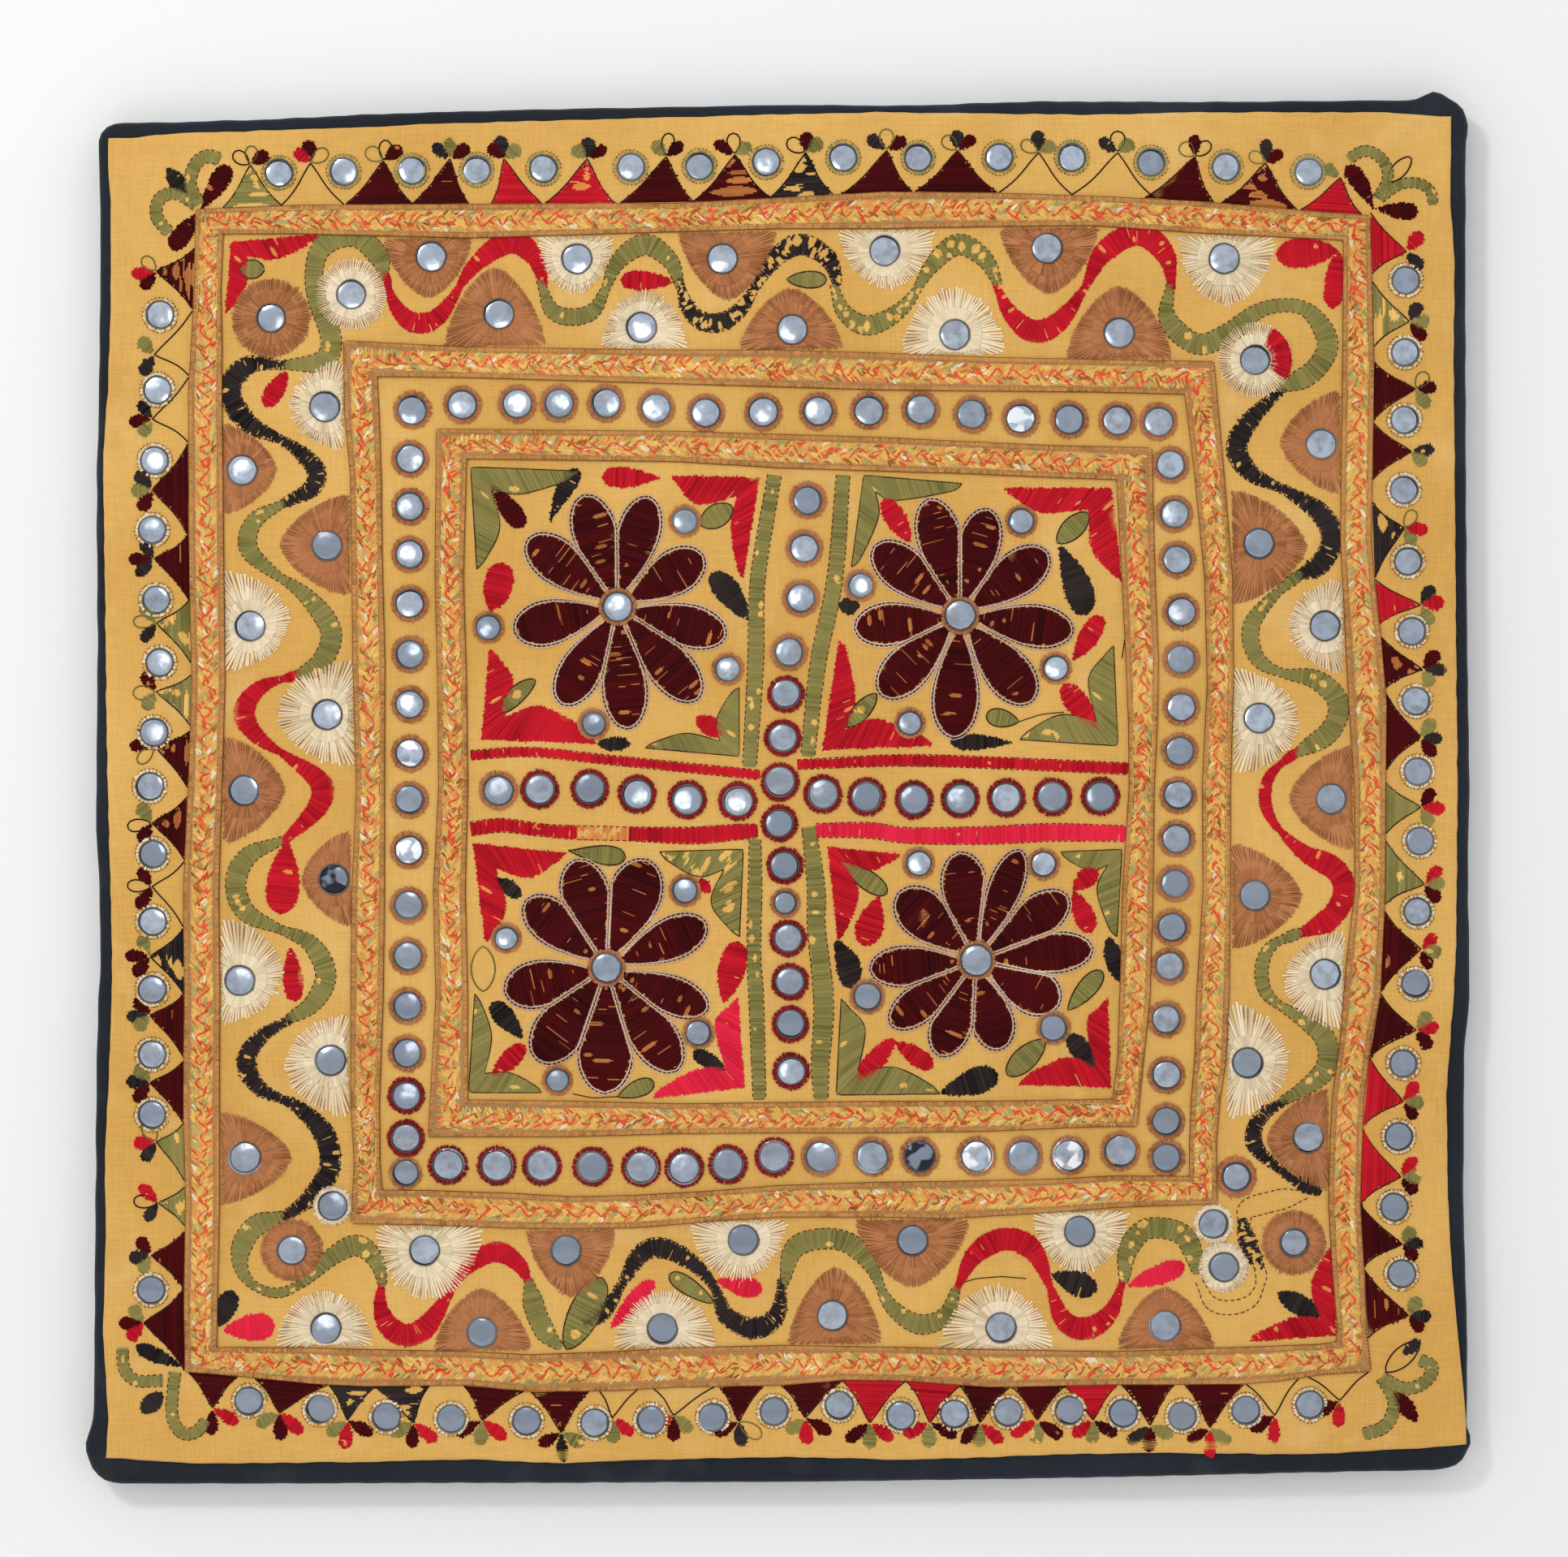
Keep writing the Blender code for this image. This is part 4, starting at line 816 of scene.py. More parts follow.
def ground_outline():
    """The ground cloth's edge as a ring of points, clockwise from the foot of its left side."""
    left = [(across, place) for place, across in GROUND_LEFT]
    right = [(across, place) for place, across in GROUND_RIGHT[::-1]]
    corners = GROUND_CORNERS
    points = [
        *left, *corners["top_left"], *GROUND_TOP, *corners["top_right"], *right,
        *corners["bottom_right"], *GROUND_BOTTOM[::-1], *corners["bottom_left"],
    ]
    return even_path(points + points[:1], GROUND_STEP)[:-1]


def bulges(ring):
    """How far the bulky corner folds push each point of the ground cloth's edge out."""
    push = np.zeros_like(ring)
    for middle, reach, width in CORNER_BULGES:
        nearness = np.exp(-((ring - middle) ** 2).sum(axis=1) / (2 * (0.5 * width) ** 2))
        push += nearness[:, None] * reach
    return push


def build_ground_cloth(finish):
    """One dark sheet over the front, round the edges and turned onto the back of the bars."""
    ring = ground_outline()
    edge = ring + bulges(ring)
    edge = edge * (1 + 0.22 * ripple(*edge.T, 11, 40.0)[:, None] / FACE_HALF)
    arc = [math.radians(angle) for angle in range(0, 91, 18)]
    rounding = EDGE_ROUNDING
    # Each row of the outside: how far in from the edge, how far in front of the wall
    outer_rows = [(back, FRAME_DEPTH) for back in (46.0, 20.0, 12.0, 7.0)]
    outer_rows += [(rounding * (1 - math.sin(turn)), FRAME_DEPTH - rounding * (1 - math.cos(turn)))
                   for turn in arc]
    outer_rows += [(0.0, front) for front in (14.5, 11.5, 8.5, 5.5)]
    outer_rows += [(rounding * (1 - math.cos(turn)), rounding * (1 - math.sin(turn))) for turn in arc]
    places = []
    for back, front in outer_rows:
        soft = 0.25 * ripple(edge[:, 0] + 3 * front, edge[:, 1] - 5 * front, 12, 26.0)
        soft = soft * math.sin(math.pi * min(1.0, front / FRAME_DEPTH))
        row = edge * (1 - back / FACE_HALF) * (1 - (0.25 + soft[:, None] * 0.5) / FACE_HALF)
        places.append(all_at(row[:, 0], row[:, 1], front))
    # The flap on the back, flattened where its corners are folded
    reach = np.max(np.abs(ring), axis=1, keepdims=True)
    fold = np.exp(-((np.abs(ring[:, 0]) - np.abs(ring[:, 1])) / 9.0) ** 2)
    flap_end = ring * ((FLAP_INNER_HALF + 1.2 * ripple(*ring.T, 13, 60.0)[:, None]) / reach)
    start = edge * (1 - rounding / FACE_HALF)
    for share in (0.18, 0.4, 0.62, 0.84, 1.0):
        row = start + share * (flap_end - start)
        front = 0.30 - 0.22 * fold + 0.06 * ripple(row[:, 0], row[:, 1], 14, 22.0)
        places.append(all_at(row[:, 0], row[:, 1], np.clip(front, 0.02, 0.5)))
    places.append(places[-1] * [1, 0, 1] + [0.0, -CLOTH_THICKNESS * MM, 0.0])
    for back, front in GROUND_INSIDE:
        row = edge * (1 - back / FACE_HALF)
        places.append(all_at(row[:, 0], row[:, 1], front))
    count = len(ring)
    faces = grid_faces(len(places), count, closed=True)
    last = (len(places) - 1) * count
    for front, first in ((FRAME_DEPTH, 0), (FRAME_DEPTH - CLOTH_THICKNESS, last)):
        middle = last + count + (first > 0)
        faces += fan_faces(range(first, first + count), middle)
        places.append(all_at([0.0], [0.0], front))
    return turned_out(add_piece("Dark_ground_cloth", np.concatenate(places), faces, finish))


def panel_place(s, t):
    """The (u, v) of shares s, t across and up the yellow panel, following its four edges."""
    level = -PANEL_REACH_V + 2 * PANEL_REACH_V * t
    upright = -PANEL_REACH_U + 2 * PANEL_REACH_U * s
    u = along(PANEL_LEFT, level) * (1 - s) + along(PANEL_RIGHT, level) * s
    v = along(PANEL_BOTTOM, upright) * (1 - t) + along(PANEL_TOP, upright) * t
    return u, v


def build_panel(finish):
    """The yellow cotton with its turned hem, puckered between the stitches."""
    near_edge = np.array((0.0, 0.0012, 0.0035, 0.0075, 0.0115))
    spaced = np.concatenate((near_edge, np.linspace(0.016, 0.984, PANEL_CELLS), 1 - near_edge[::-1]))
    count = len(spaced)
    s, t = np.meshgrid(spaced, spaced)
    u, v = panel_place(s, t)
    from_edge = np.minimum(np.minimum(s, 1 - s), np.minimum(t, 1 - t)) * PANEL_SIDE
    u = u + 0.3 * ripple(u, v, 21, 24.0) * np.exp(-from_edge / 6)
    v = v + 0.3 * ripple(u, v, 22, 24.0) * np.exp(-from_edge / 6)
    hem = 0.35 / (1 + np.exp((from_edge - HEM_WIDTH) * 2.0))
    edge_drop = -0.75 * np.exp(-from_edge / 0.9)
    places = all_at(u, v, cloth_rise(u, v) + hem + edge_drop).reshape(-1, 3)
    faces = grid_faces(count, count, closed=False)
    numbers = np.arange(count * count).reshape(count, count)
    ring = np.concatenate((
        numbers[0], numbers[1:, -1], numbers[-1, -2::-1], numbers[-2:0:-1, 0],
    ))
    back = places[ring] * [1, 0, 1] + [0.0, -PANEL_BACK * MM, 0.0]
    ring = ring.tolist()
    first = len(places)
    places = np.concatenate((places, back, all_at([0.0], [0.0], PANEL_BACK)))
    for step in range(len(ring)):
        faces.append((ring[step - 1], ring[step], first + step, first + (step - 1) % len(ring)))
    faces += fan_faces(range(first, first + len(ring)), len(places) - 1)
    return turned_out(add_piece("Yellow_embroidered_cotton", places, faces, finish))


def braid_corner(sides, level, upright, column):
    """Where two sides of a braid meet: u from the upright side, v from the level one."""
    u = sides[upright][-1 if level == "top" else 0][column]
    v = sides[level][-1 if upright == "right" else 0][column]
    return u, v


def braid_edges(sides):
    """The outer and the inner edge round a braid, as matching closed runs of points."""
    order = (("left", 1), ("top", 1), ("right", -1), ("bottom", -1))
    corners = (("top", "left"), ("top", "right"), ("bottom", "right"), ("bottom", "left"))
    ends = [[braid_corner(sides, *corner, column) for column in (1, 2)] for corner in corners]
    outer = []
    inner = []
    for number, (side, way) in enumerate(order):
        upright = 1 if side in ("left", "right") else 0
        stop = sorted((ends[number][1][upright], ends[number - 1][1][upright]))
        for place, out_edge, in_edge in sides[side][::way]:
            if stop[0] + 1 < place < stop[1] - 1:
                outer.append((out_edge, place) if upright else (place, out_edge))
                inner.append((in_edge, place) if upright else (place, in_edge))
        outer.append(ends[number][0])
        inner.append(ends[number][1])
    return np.array(outer + outer[:1]), np.array(inner + inner[:1])


def finer_pair(outer, inner, step):
    """Both edges of a braid cut into short steps that still face each other."""
    both = np.stack((outer, inner))
    gaps = np.linalg.norm(np.diff(both, axis=1), axis=2).mean(axis=0)
    finer = [both[:, 0]]
    for number, gap in enumerate(gaps):
        for share in np.linspace(0, 1, max(1, int(round(gap / step))) + 1)[1:]:
            finer.append(both[:, number] + share * (both[:, number + 1] - both[:, number]))
    return np.array(finer)[:, 0], np.array(finer)[:, 1]


def braid_profile():
    """Cross-section of a braid: share of its width, height above its seat."""
    half = [(0.0, 0.0), (0.0, BRAID_SIDE)]
    half += [(place / BRAID_WIDTH, rise) for place, rise in BRAID_SECTION]
    return half + [(0.5, BRAID_BODY + 0.08)] + [(1 - share, rise) for share, rise in half[::-1]]


def build_braid(name, sides, finish):
    """A round of woven braid as one mitred ribbon, with its flat map in metres."""
    outer, inner = finer_pair(*braid_edges(sides), BRAID_STEP)
    across = inner - outer
    across /= np.linalg.norm(across, axis=1, keepdims=True)
    wander = 0.16 * ripple(*outer.T, 31, 12.0)[:, None] * across
    outer = (outer + wander)[:-1]
    inner = (inner + wander)[:-1]
    width = np.linalg.norm(outer - inner, axis=1)
    share, rise = np.array(braid_profile()).T
    section = outer[:, None] + share[:, None] * (inner - outer)[:, None]
    places = all_at(section[..., 0], section[..., 1], BRAID_SEAT + rise)
    rounds, count = places.shape[:2]
    faces = grid_faces(rounds, count, closed=True)
    last = (rounds - 1) * count
    for step in range(count):
        after = (step + 1) % count
        faces.append((last + step, last + after, after, step))
    piece = add_piece(name, places.reshape(-1, 3), faces, finish)
    run = np.broadcast_to(run_of((outer + inner) / 2)[:, None], (rounds, count))
    lie = np.stack((run, (share - 0.5) * width[:, None]), axis=-1).reshape(-1, 2) * MM
    mapping = piece.data.uv_layers.new(name="lie")
    corner_points = np.zeros(len(piece.data.loops), dtype=int)
    piece.data.loops.foreach_get("vertex_index", corner_points)
    mapping.data.foreach_set("uv", lie[corner_points].astype(np.float32).ravel())
    return turned_out(piece)


def feed(tree, node, feeds):
    """Feed a node's inputs, by label or number, from sockets or values."""
    for label, source in feeds:
        if isinstance(source, bpy.types.NodeSocket):
            tree.links.new(source, node.inputs[label])
        else:
            node.inputs[label].default_value = source


def joined(tree, kind, feeds=(), **settings):
    """A new node with its settings made and its inputs fed."""
    node = tree.nodes.new(kind)
    for label, value in settings.items():
        setattr(node, label, value)
    feed(tree, node, feeds)
    return node


def maths(tree, operation, *values):
    """The result of one operation on sockets or numbers."""
    return joined(tree, "ShaderNodeMath", enumerate(values), operation=operation).outputs[0]


def new_tree(name, sockets):
    """An empty Geometry Nodes tree with named inputs: label, kind, value."""
    tree = bpy.data.node_groups.new(name, "GeometryNodeTree")
    tree.interface.new_socket("Geometry", in_out="INPUT", socket_type="NodeSocketGeometry")
    for label, kind, value in sockets:
        socket = tree.interface.new_socket(label, in_out="INPUT", socket_type=kind)
        if value is not None:
            socket.default_value = value
    tree.interface.new_socket("Geometry", in_out="OUTPUT", socket_type="NodeSocketGeometry")
    return tree, tree.nodes.new("NodeGroupInput").outputs


def stored(tree, name, kind):
    """The stored values of that name on the points."""
    node = joined(tree, "GeometryNodeInputNamedAttribute", (("Name", name),), data_type=kind)
    return node.outputs["Attribute"]


def finished(tree, shape, finish):
    """End a tree: make its copies real and give them their finish."""
    whole = joined(tree, "GeometryNodeRealizeInstances", (("Geometry", shape),))
    feeds = (("Geometry", whole.outputs[0]), ("Material", finish))
    dressed = joined(tree, "GeometryNodeSetMaterial", feeds)
    joined(tree, "NodeGroupOutput", ((0, dressed.outputs[0]),))
    return tree


def copies_tree():
    """Sets a copy of one small shape at each point, turned and sized as the point says."""
    tree, given = new_tree("Set out copies", (
        ("Shape", "NodeSocketObject", None),
        ("Finish", "NodeSocketMaterial", None),
        ("Size Change", "NodeSocketFloat", 0.06),
        ("Seed", "NodeSocketInt", 1),
    ))
    points = joined(tree, "GeometryNodeMeshToPoints", (("Mesh", given["Geometry"]),))
    shape = joined(tree, "GeometryNodeObjectInfo", (("Object", given["Shape"]),))
    change = joined(tree, "FunctionNodeRandomValue", (("Seed", given["Seed"]),), data_type="FLOAT")
    ends = [socket for socket in change.inputs if socket.enabled and socket.name in ("Min", "Max")]
    for end, operation in zip(ends, ("SUBTRACT", "ADD")):
        tree.links.new(maths(tree, operation, 1.0, given["Size Change"]), end)
    changed = [socket for socket in change.outputs if socket.enabled][0]
    size = joined(tree, "ShaderNodeVectorMath", (
        (0, stored(tree, "size", "FLOAT_VECTOR")), ("Scale", changed),
    ), operation="SCALE")
    turn = joined(tree, "FunctionNodeEulerToRotation", ((0, stored(tree, "turn", "FLOAT_VECTOR")),))
    placed = joined(tree, "GeometryNodeInstanceOnPoints", (
        ("Points", points.outputs[0]), ("Instance", shape.outputs["Geometry"]),
        ("Rotation", turn.outputs[0]), ("Scale", size.outputs[0]),
    ))
    return finished(tree, placed.outputs[0], given["Finish"])


def cord_tree():
    """Lays a round thread along each path, as thick as the path's points say."""
    tree, given = new_tree("Lay threads", (
        ("Finish", "NodeSocketMaterial", None),
        ("Spacing", "NodeSocketFloat", 0.002),
        ("Sides", "NodeSocketInt", 4),
    ))
    curve = joined(tree, "GeometryNodeMeshToCurve", (("Mesh", given["Geometry"]),))
    even = joined(tree, "GeometryNodeResampleCurve", (
        ("Curve", curve.outputs[0]), ("Length", given["Spacing"]),
    ), mode="LENGTH")
    circle = joined(tree, "GeometryNodeCurvePrimitiveCircle", (
        ("Resolution", given["Sides"]), ("Radius", 0.5),
    ))
    skin = joined(tree, "GeometryNodeCurveToMesh", (
        ("Curve", even.outputs[0]), ("Profile Curve", circle.outputs[0]),
        ("Scale", stored(tree, "girth", "FLOAT")), ("Fill Caps", True),
    ))
    smooth = joined(tree, "GeometryNodeSetShadeSmooth", (("Geometry", skin.outputs[0]),))
    return finished(tree, smooth.outputs[0], given["Finish"])


def grown(name, seed_mesh, tree, values):
    """Run a tree on a seed mesh and keep what it makes as a plain piece."""
    seed = linked(name + " seed", seed_mesh)
    modifier = seed.modifiers.new("Grow", "NODES")
    modifier.node_group = tree
    for item in tree.interface.items_tree:
        if item.in_out == "INPUT" and item.name in values:
            modifier[item.identifier] = values[item.name]
    graph = bpy.context.evaluated_depsgraph_get()
    graph.update()
    mesh = bpy.data.meshes.new_from_object(
        seed.evaluated_get(graph), preserve_all_data_layers=True, depsgraph=graph)
    mesh.name = name
    seed.modifiers.remove(modifier)
    bpy.data.objects.remove(seed, do_unlink=True)
    return linked(name, mesh)


def unit_stitch():
    """One satin stitch of unit size: a strand that dips at both ends, open underneath."""
    stations = ((-0.5, 0.35, 0.86), (0.0, 1.0, 1.0), (0.5, 0.35, 0.86))
    foot = 0.35
    places = []
    for x, rise, girth in stations:
        places += [(x, foot, -0.5 * girth), (x, -rise, 0.0), (x, foot, 0.5 * girth)]
    faces = grid_faces(len(stations), 3, closed=False)
    return add_piece("Stitch shape", places, [face[::-1] for face in faces])


def unit_glass():
    """One mirror of unit radius: a thin disc with a slight dome and a ground edge."""
    rows = ((1.0, 0.45), (1.0, -0.02), (0.92, -0.08), (0.55, -0.155))
    crown = -0.185
    sides = 24
    places = []
    for reach, front in rows:
        for side in range(sides):
            turn = math.tau * side / sides
            places.append((reach * math.cos(turn), front, reach * math.sin(turn)))
    places.append((0.0, crown, 0.0))
    faces = grid_faces(len(rows), sides, closed=True)
    faces += fan_faces(range((len(rows) - 1) * sides, len(rows) * sides), len(places) - 1)
    return add_piece("Glass shape", places, [face[::-1] for face in faces])


def point_mesh(name, places, turns, sizes, tones):
    """Points with their turns, sizes and tones stored on them."""
    mesh = bpy.data.meshes.new(name)
    mesh.from_pydata(places.tolist(), [], [])
    for label, kind, key, values in (
        ("turn", "FLOAT_VECTOR", "vector", turns), ("size", "FLOAT_VECTOR", "vector", sizes),
        ("tone", "FLOAT", "value", tones),
    ):
        held = mesh.attributes.new(label, kind, "POINT")
        held.data.foreach_set(key, np.asarray(values, dtype=np.float32).ravel())
    return mesh


def path_mesh(name, paths):
    """Open and closed paths as edges, with the thread's girth stored on their points."""
    places = []
    edges = []
    girths = []
    for path, front, girth, closed in paths:
        first = len(places)
        places += all_at(path[:, 0], path[:, 1], front).tolist()
        edges += [(first + step, first + step + 1) for step in range(len(path) - 1)]
        if closed:
            edges.append((first + len(path) - 1, first))
        girths += [girth * MM] * len(path)
    mesh = bpy.data.meshes.new(name)
    mesh.from_pydata(places, edges, [])
    held = mesh.attributes.new("girth", "FLOAT", "POINT")
    held.data.foreach_set("value", np.array(girths, dtype=np.float32))
    return mesh


# Stitches and laid threads of each colour, gathered before they are sewn
sewn = {}
laid = {}


def shades(count):
    """A soft change of shade from one stitch to the next, in clumps as a needleful runs."""
    values = np.zeros(count)
    start = 0
    while start < count:
        stop = start + int(chance.integers(2, 9))
        values[start:stop] = chance.normal(0, 0.12)
        start = stop
    return np.clip(0.5 + values + chance.normal(0, 0.22, count), 0, 1)


def sew(thread, starts, ends, girth=0.85, rise=STITCH_RISE, lift=0.0, tone=None):
    """Straight stitches of one colour from `starts` to `ends`, both (u, v) in millimetres."""
    gap = ends - starts
    length = np.hypot(gap[:, 0], gap[:, 1])
    if tone is None:
        tone = shades(len(starts))
    middle = (starts + ends) / 2
    lifts = np.broadcast_to(np.asarray(lift, float), length.shape)
    girths = np.broadcast_to(np.asarray(girth, float), length.shape)
    table = np.column_stack((middle, np.arctan2(gap[:, 1], gap[:, 0]), length, girths,
                             np.full(len(length), rise), lifts, tone))
    sewn.setdefault(thread, []).append(table[length > SHORTEST_STITCH])


def lay(thread, path, girth=0.7, lift=0.15, closed=False):
    """A thread laid along a path of (u, v)."""
    path = np.asarray(path, float)[:, :2]
    front = cloth_rise(path[:, 0], path[:, 1]) + lift
    laid.setdefault(thread, []).append((path, front, girth, closed))


def fill_between(thread, edge_a, edge_b, pitch=0.72, worn=0.0, ragged=0.3, girth=0.9):
    """Satin stitches side by side from one edge to the other, with worn places left open."""
    run = run_of((edge_a + edge_b) / 2)
    count = max(3, int(run[-1] / pitch))
    places = (np.arange(count) + 0.5) / count * run[-1]
    starts = np.stack([np.interp(places, run, column) for column in edge_a.T], axis=1)
    ends = np.stack([np.interp(places, run, column) for column in edge_b.T], axis=1)
    gap = ends - starts
    gap /= np.maximum(np.linalg.norm(gap, axis=1, keepdims=True), 1e-6)
    starts = starts + gap * chance.normal(0, ragged, (count, 1))
    ends = ends + gap * chance.normal(0, ragged, (count, 1))
    tones = shades(count)
    # Where each stitch is worn open, as shares of its length
    opened = np.full((count, 2), 2.0)
    broad = worn >= 0.4 or thread == "green"
    for _ in range(int(chance.poisson(worn * count / (2.4 if worn > 0.2 else 5.0)))):
        middle_stitch = int(chance.integers(0, count))
        reach = int(chance.choice((1, 2, 3) if broad else (0, 0, 0, 1)))
        across = chance.uniform(0.15, 0.85)
        widest = chance.uniform(0.25 if broad else 0.15, 0.45 + 0.7 * worn)
        for number in range(max(0, middle_stitch - reach), min(count, middle_stitch + reach + 1)):
            part = widest * math.cos(0.5 * math.pi * abs(number - middle_stitch) / (reach + 1))
            opened[number] = (across - part / 2, across + part / 2)
    cut = opened[:, 0] <= 1.5
    sew(thread, starts[~cut], ends[~cut], girth, tone=tones[~cut])
    if cut.any():
        starts, ends, tones = starts[cut], ends[cut], tones[cut]
        low, high = np.clip(opened[cut], 0, 1).T[:, :, None]
        low = starts + low * (ends - starts)
        high = starts + high * (ends - starts)
        sew(thread, starts, low, girth, tone=tones)
        sew(thread, high, ends, girth, tone=tones)
        if thread in WORN_SHADES:
            sew(WORN_SHADES[thread], low, high, 0.8 * girth, 0.5 * STITCH_RISE, -0.1, tones)


def leaf_edges(root, tip, width, fat, bow, blunt):
    """The two edges of a leaf from root to tip, widest at the share `fat` of its length."""
    reach = tip - root
    left = np.array((-reach[1], reach[0])) / np.linalg.norm(reach)
    share = np.linspace(0.0, 1.0, LEAF_STEPS)[:, None]
    axis = root + share * reach + left * bow * np.sin(math.pi * share)
    if fat > 0.52:
        sharp = 0.5 * fat / (1 - fat)
        full = fat ** sharp * (1 - fat) ** 0.5
        half = 0.5 * width * share ** sharp * (1 - share) ** 0.5 / full
    else:
        power = math.log(0.5) / math.log(fat)
        half = 0.5 * width * np.sin(math.pi * share ** power) ** blunt
    return axis + left * half, axis - left * half


def leaf(thread, root, tip, width, fat=0.5, bow=0.0, worn=0.0, edge=None, blunt=0.6):
    """A leaf, petal or drop in satin stitch, with a laid outline if a thread is named."""
    edge_a, edge_b = leaf_edges(np.array(root, float), np.array(tip, float), width, fat, bow, blunt)
    if thread:
        fill_between(thread, edge_a, edge_b, worn=worn)
    if edge:
        lay(edge, np.vstack((edge_a, edge_b[-2:0:-1])), girth=0.75, closed=True)


def corner_spray(thread, corner, tip_a, belly_a, tip_b, belly_b, worn):
    """Two half leaves that part at a corner: straight outside, bellied inside."""
    corner, tip_a, belly_a, tip_b, belly_b = np.array((corner, tip_a, belly_a, tip_b, belly_b), float)
    outlined = thread == "green"
    crook = corner + 0.25 * (belly_a - corner) + 0.25 * (belly_b - corner)
    runs = []
    for tip, belly in ((tip_a, belly_a), (tip_b, belly_b)):
        reach = tip - corner
        straight = corner + np.linspace(0.0, 1.0, LEAF_STEPS)[:, None] * reach
        bulge = belly - corner
        bulge = bulge - reach * (bulge @ reach) / (reach @ reach)
        bowed = smooth_path((crook, belly, corner + 0.9 * reach + 0.38 * bulge, tip), 0.5)
        bowed = bowed[np.linspace(0, len(bowed) - 1, LEAF_STEPS).astype(int)]
        fill_between(thread, straight, bowed, worn=worn, ragged=0.2 if outlined else 0.28)
        runs.append(bowed)
    if outlined:
        for run in (*runs, even_path((tip_b, corner, tip_a), 3.0)):
            lay("dark_brown", run, girth=0.6)


def ribbon(thread, points, worn, outline, ragged):
    """A band in satin stitch along a path of (u, v, width)."""
    path = smooth_path(points, 1.5)
    left = sideways(path)
    half = np.maximum(path[:, 2:3], 1.0) / 2
    step = np.gradient(path[:, :2], axis=0)
    heading = np.unwrap(np.arctan2(step[:, 1], step[:, 0]))
    bend = np.convolve(np.pad(np.gradient(heading), 2, mode="edge"), np.full(5, 0.2), mode="valid")
    bend = (bend / np.linalg.norm(step, axis=1))[:, None]
    # On the inside of a bend the edge stays short of the bend's own middle
    edge_a = path[:, :2] + left * np.minimum(half, 0.72 / np.maximum(bend, 1e-3))
    edge_b = path[:, :2] - left * np.minimum(half, 0.72 / np.maximum(-bend, 1e-3))
    if thread:
        fill_between(thread, edge_a, edge_b, pitch=0.62, worn=worn, ragged=ragged)
    if outline:
        tick_line(outline, edge_a + left * 0.3)
        tick_line(outline, edge_b - left * 0.3)


def tick_line(thread, path, long=1.9, gap=1.1, girth=0.5):
    """Running stitches along a path, a little uneven."""
    run = even_path(path, long + gap)
    step = run[1:] - run[:-1]
    share = long / (long + gap) + chance.normal(0, 0.08, (len(step), 1))
    sew(thread, run[:-1], run[:-1] + step * share, girth=girth, rise=0.38, lift=0.05)


def ring_points(u, v, reach, count, wobble=0.15):
    """Points round a circle, a little uneven as by hand."""
    turn = np.linspace(0, math.tau, count, endpoint=False)
    far = reach + chance.normal(0, wobble, count)
    return np.stack((u + far * np.cos(turn), v + far * np.sin(turn)), axis=1)


def spokes(count, shift=0.0, wobble=0.12):
    """The turns of spokes round a mirror, a little uneven, and their unit directions."""
    turn = (np.arange(count) + shift + chance.normal(0, wobble, count)) / count * math.tau
    return turn, directions(turn)


def stitched_rim(thread, u, v, radius, reach=2.5, count=48, worn=0.0):
    """The spokes of buttonhole stitch that hold a mirror down."""
    spoke = spokes(count)[1]
    inner = radius + 0.1 + chance.normal(0, 0.15, count)
    outer = radius + reach + chance.normal(0, 0.2, count)
    keep = chance.random(count) >= worn
    starts = (u, v) + spoke * inner[:, None]
    ends = (u, v) + spoke * outer[:, None]
    sew(thread, starts[keep], ends[keep], girth=1.15, rise=0.62, lift=GLASS_SEAT)


def glass_ring(u, v, radius):
    """The chain stitch that runs close round the glass; its dark grey is partly painted shade at the
    glass edge.
    """
    lay("grey", ring_points(u, v, radius + 0.15, 22, 0.10), girth=0.85, lift=1.15, closed=True)


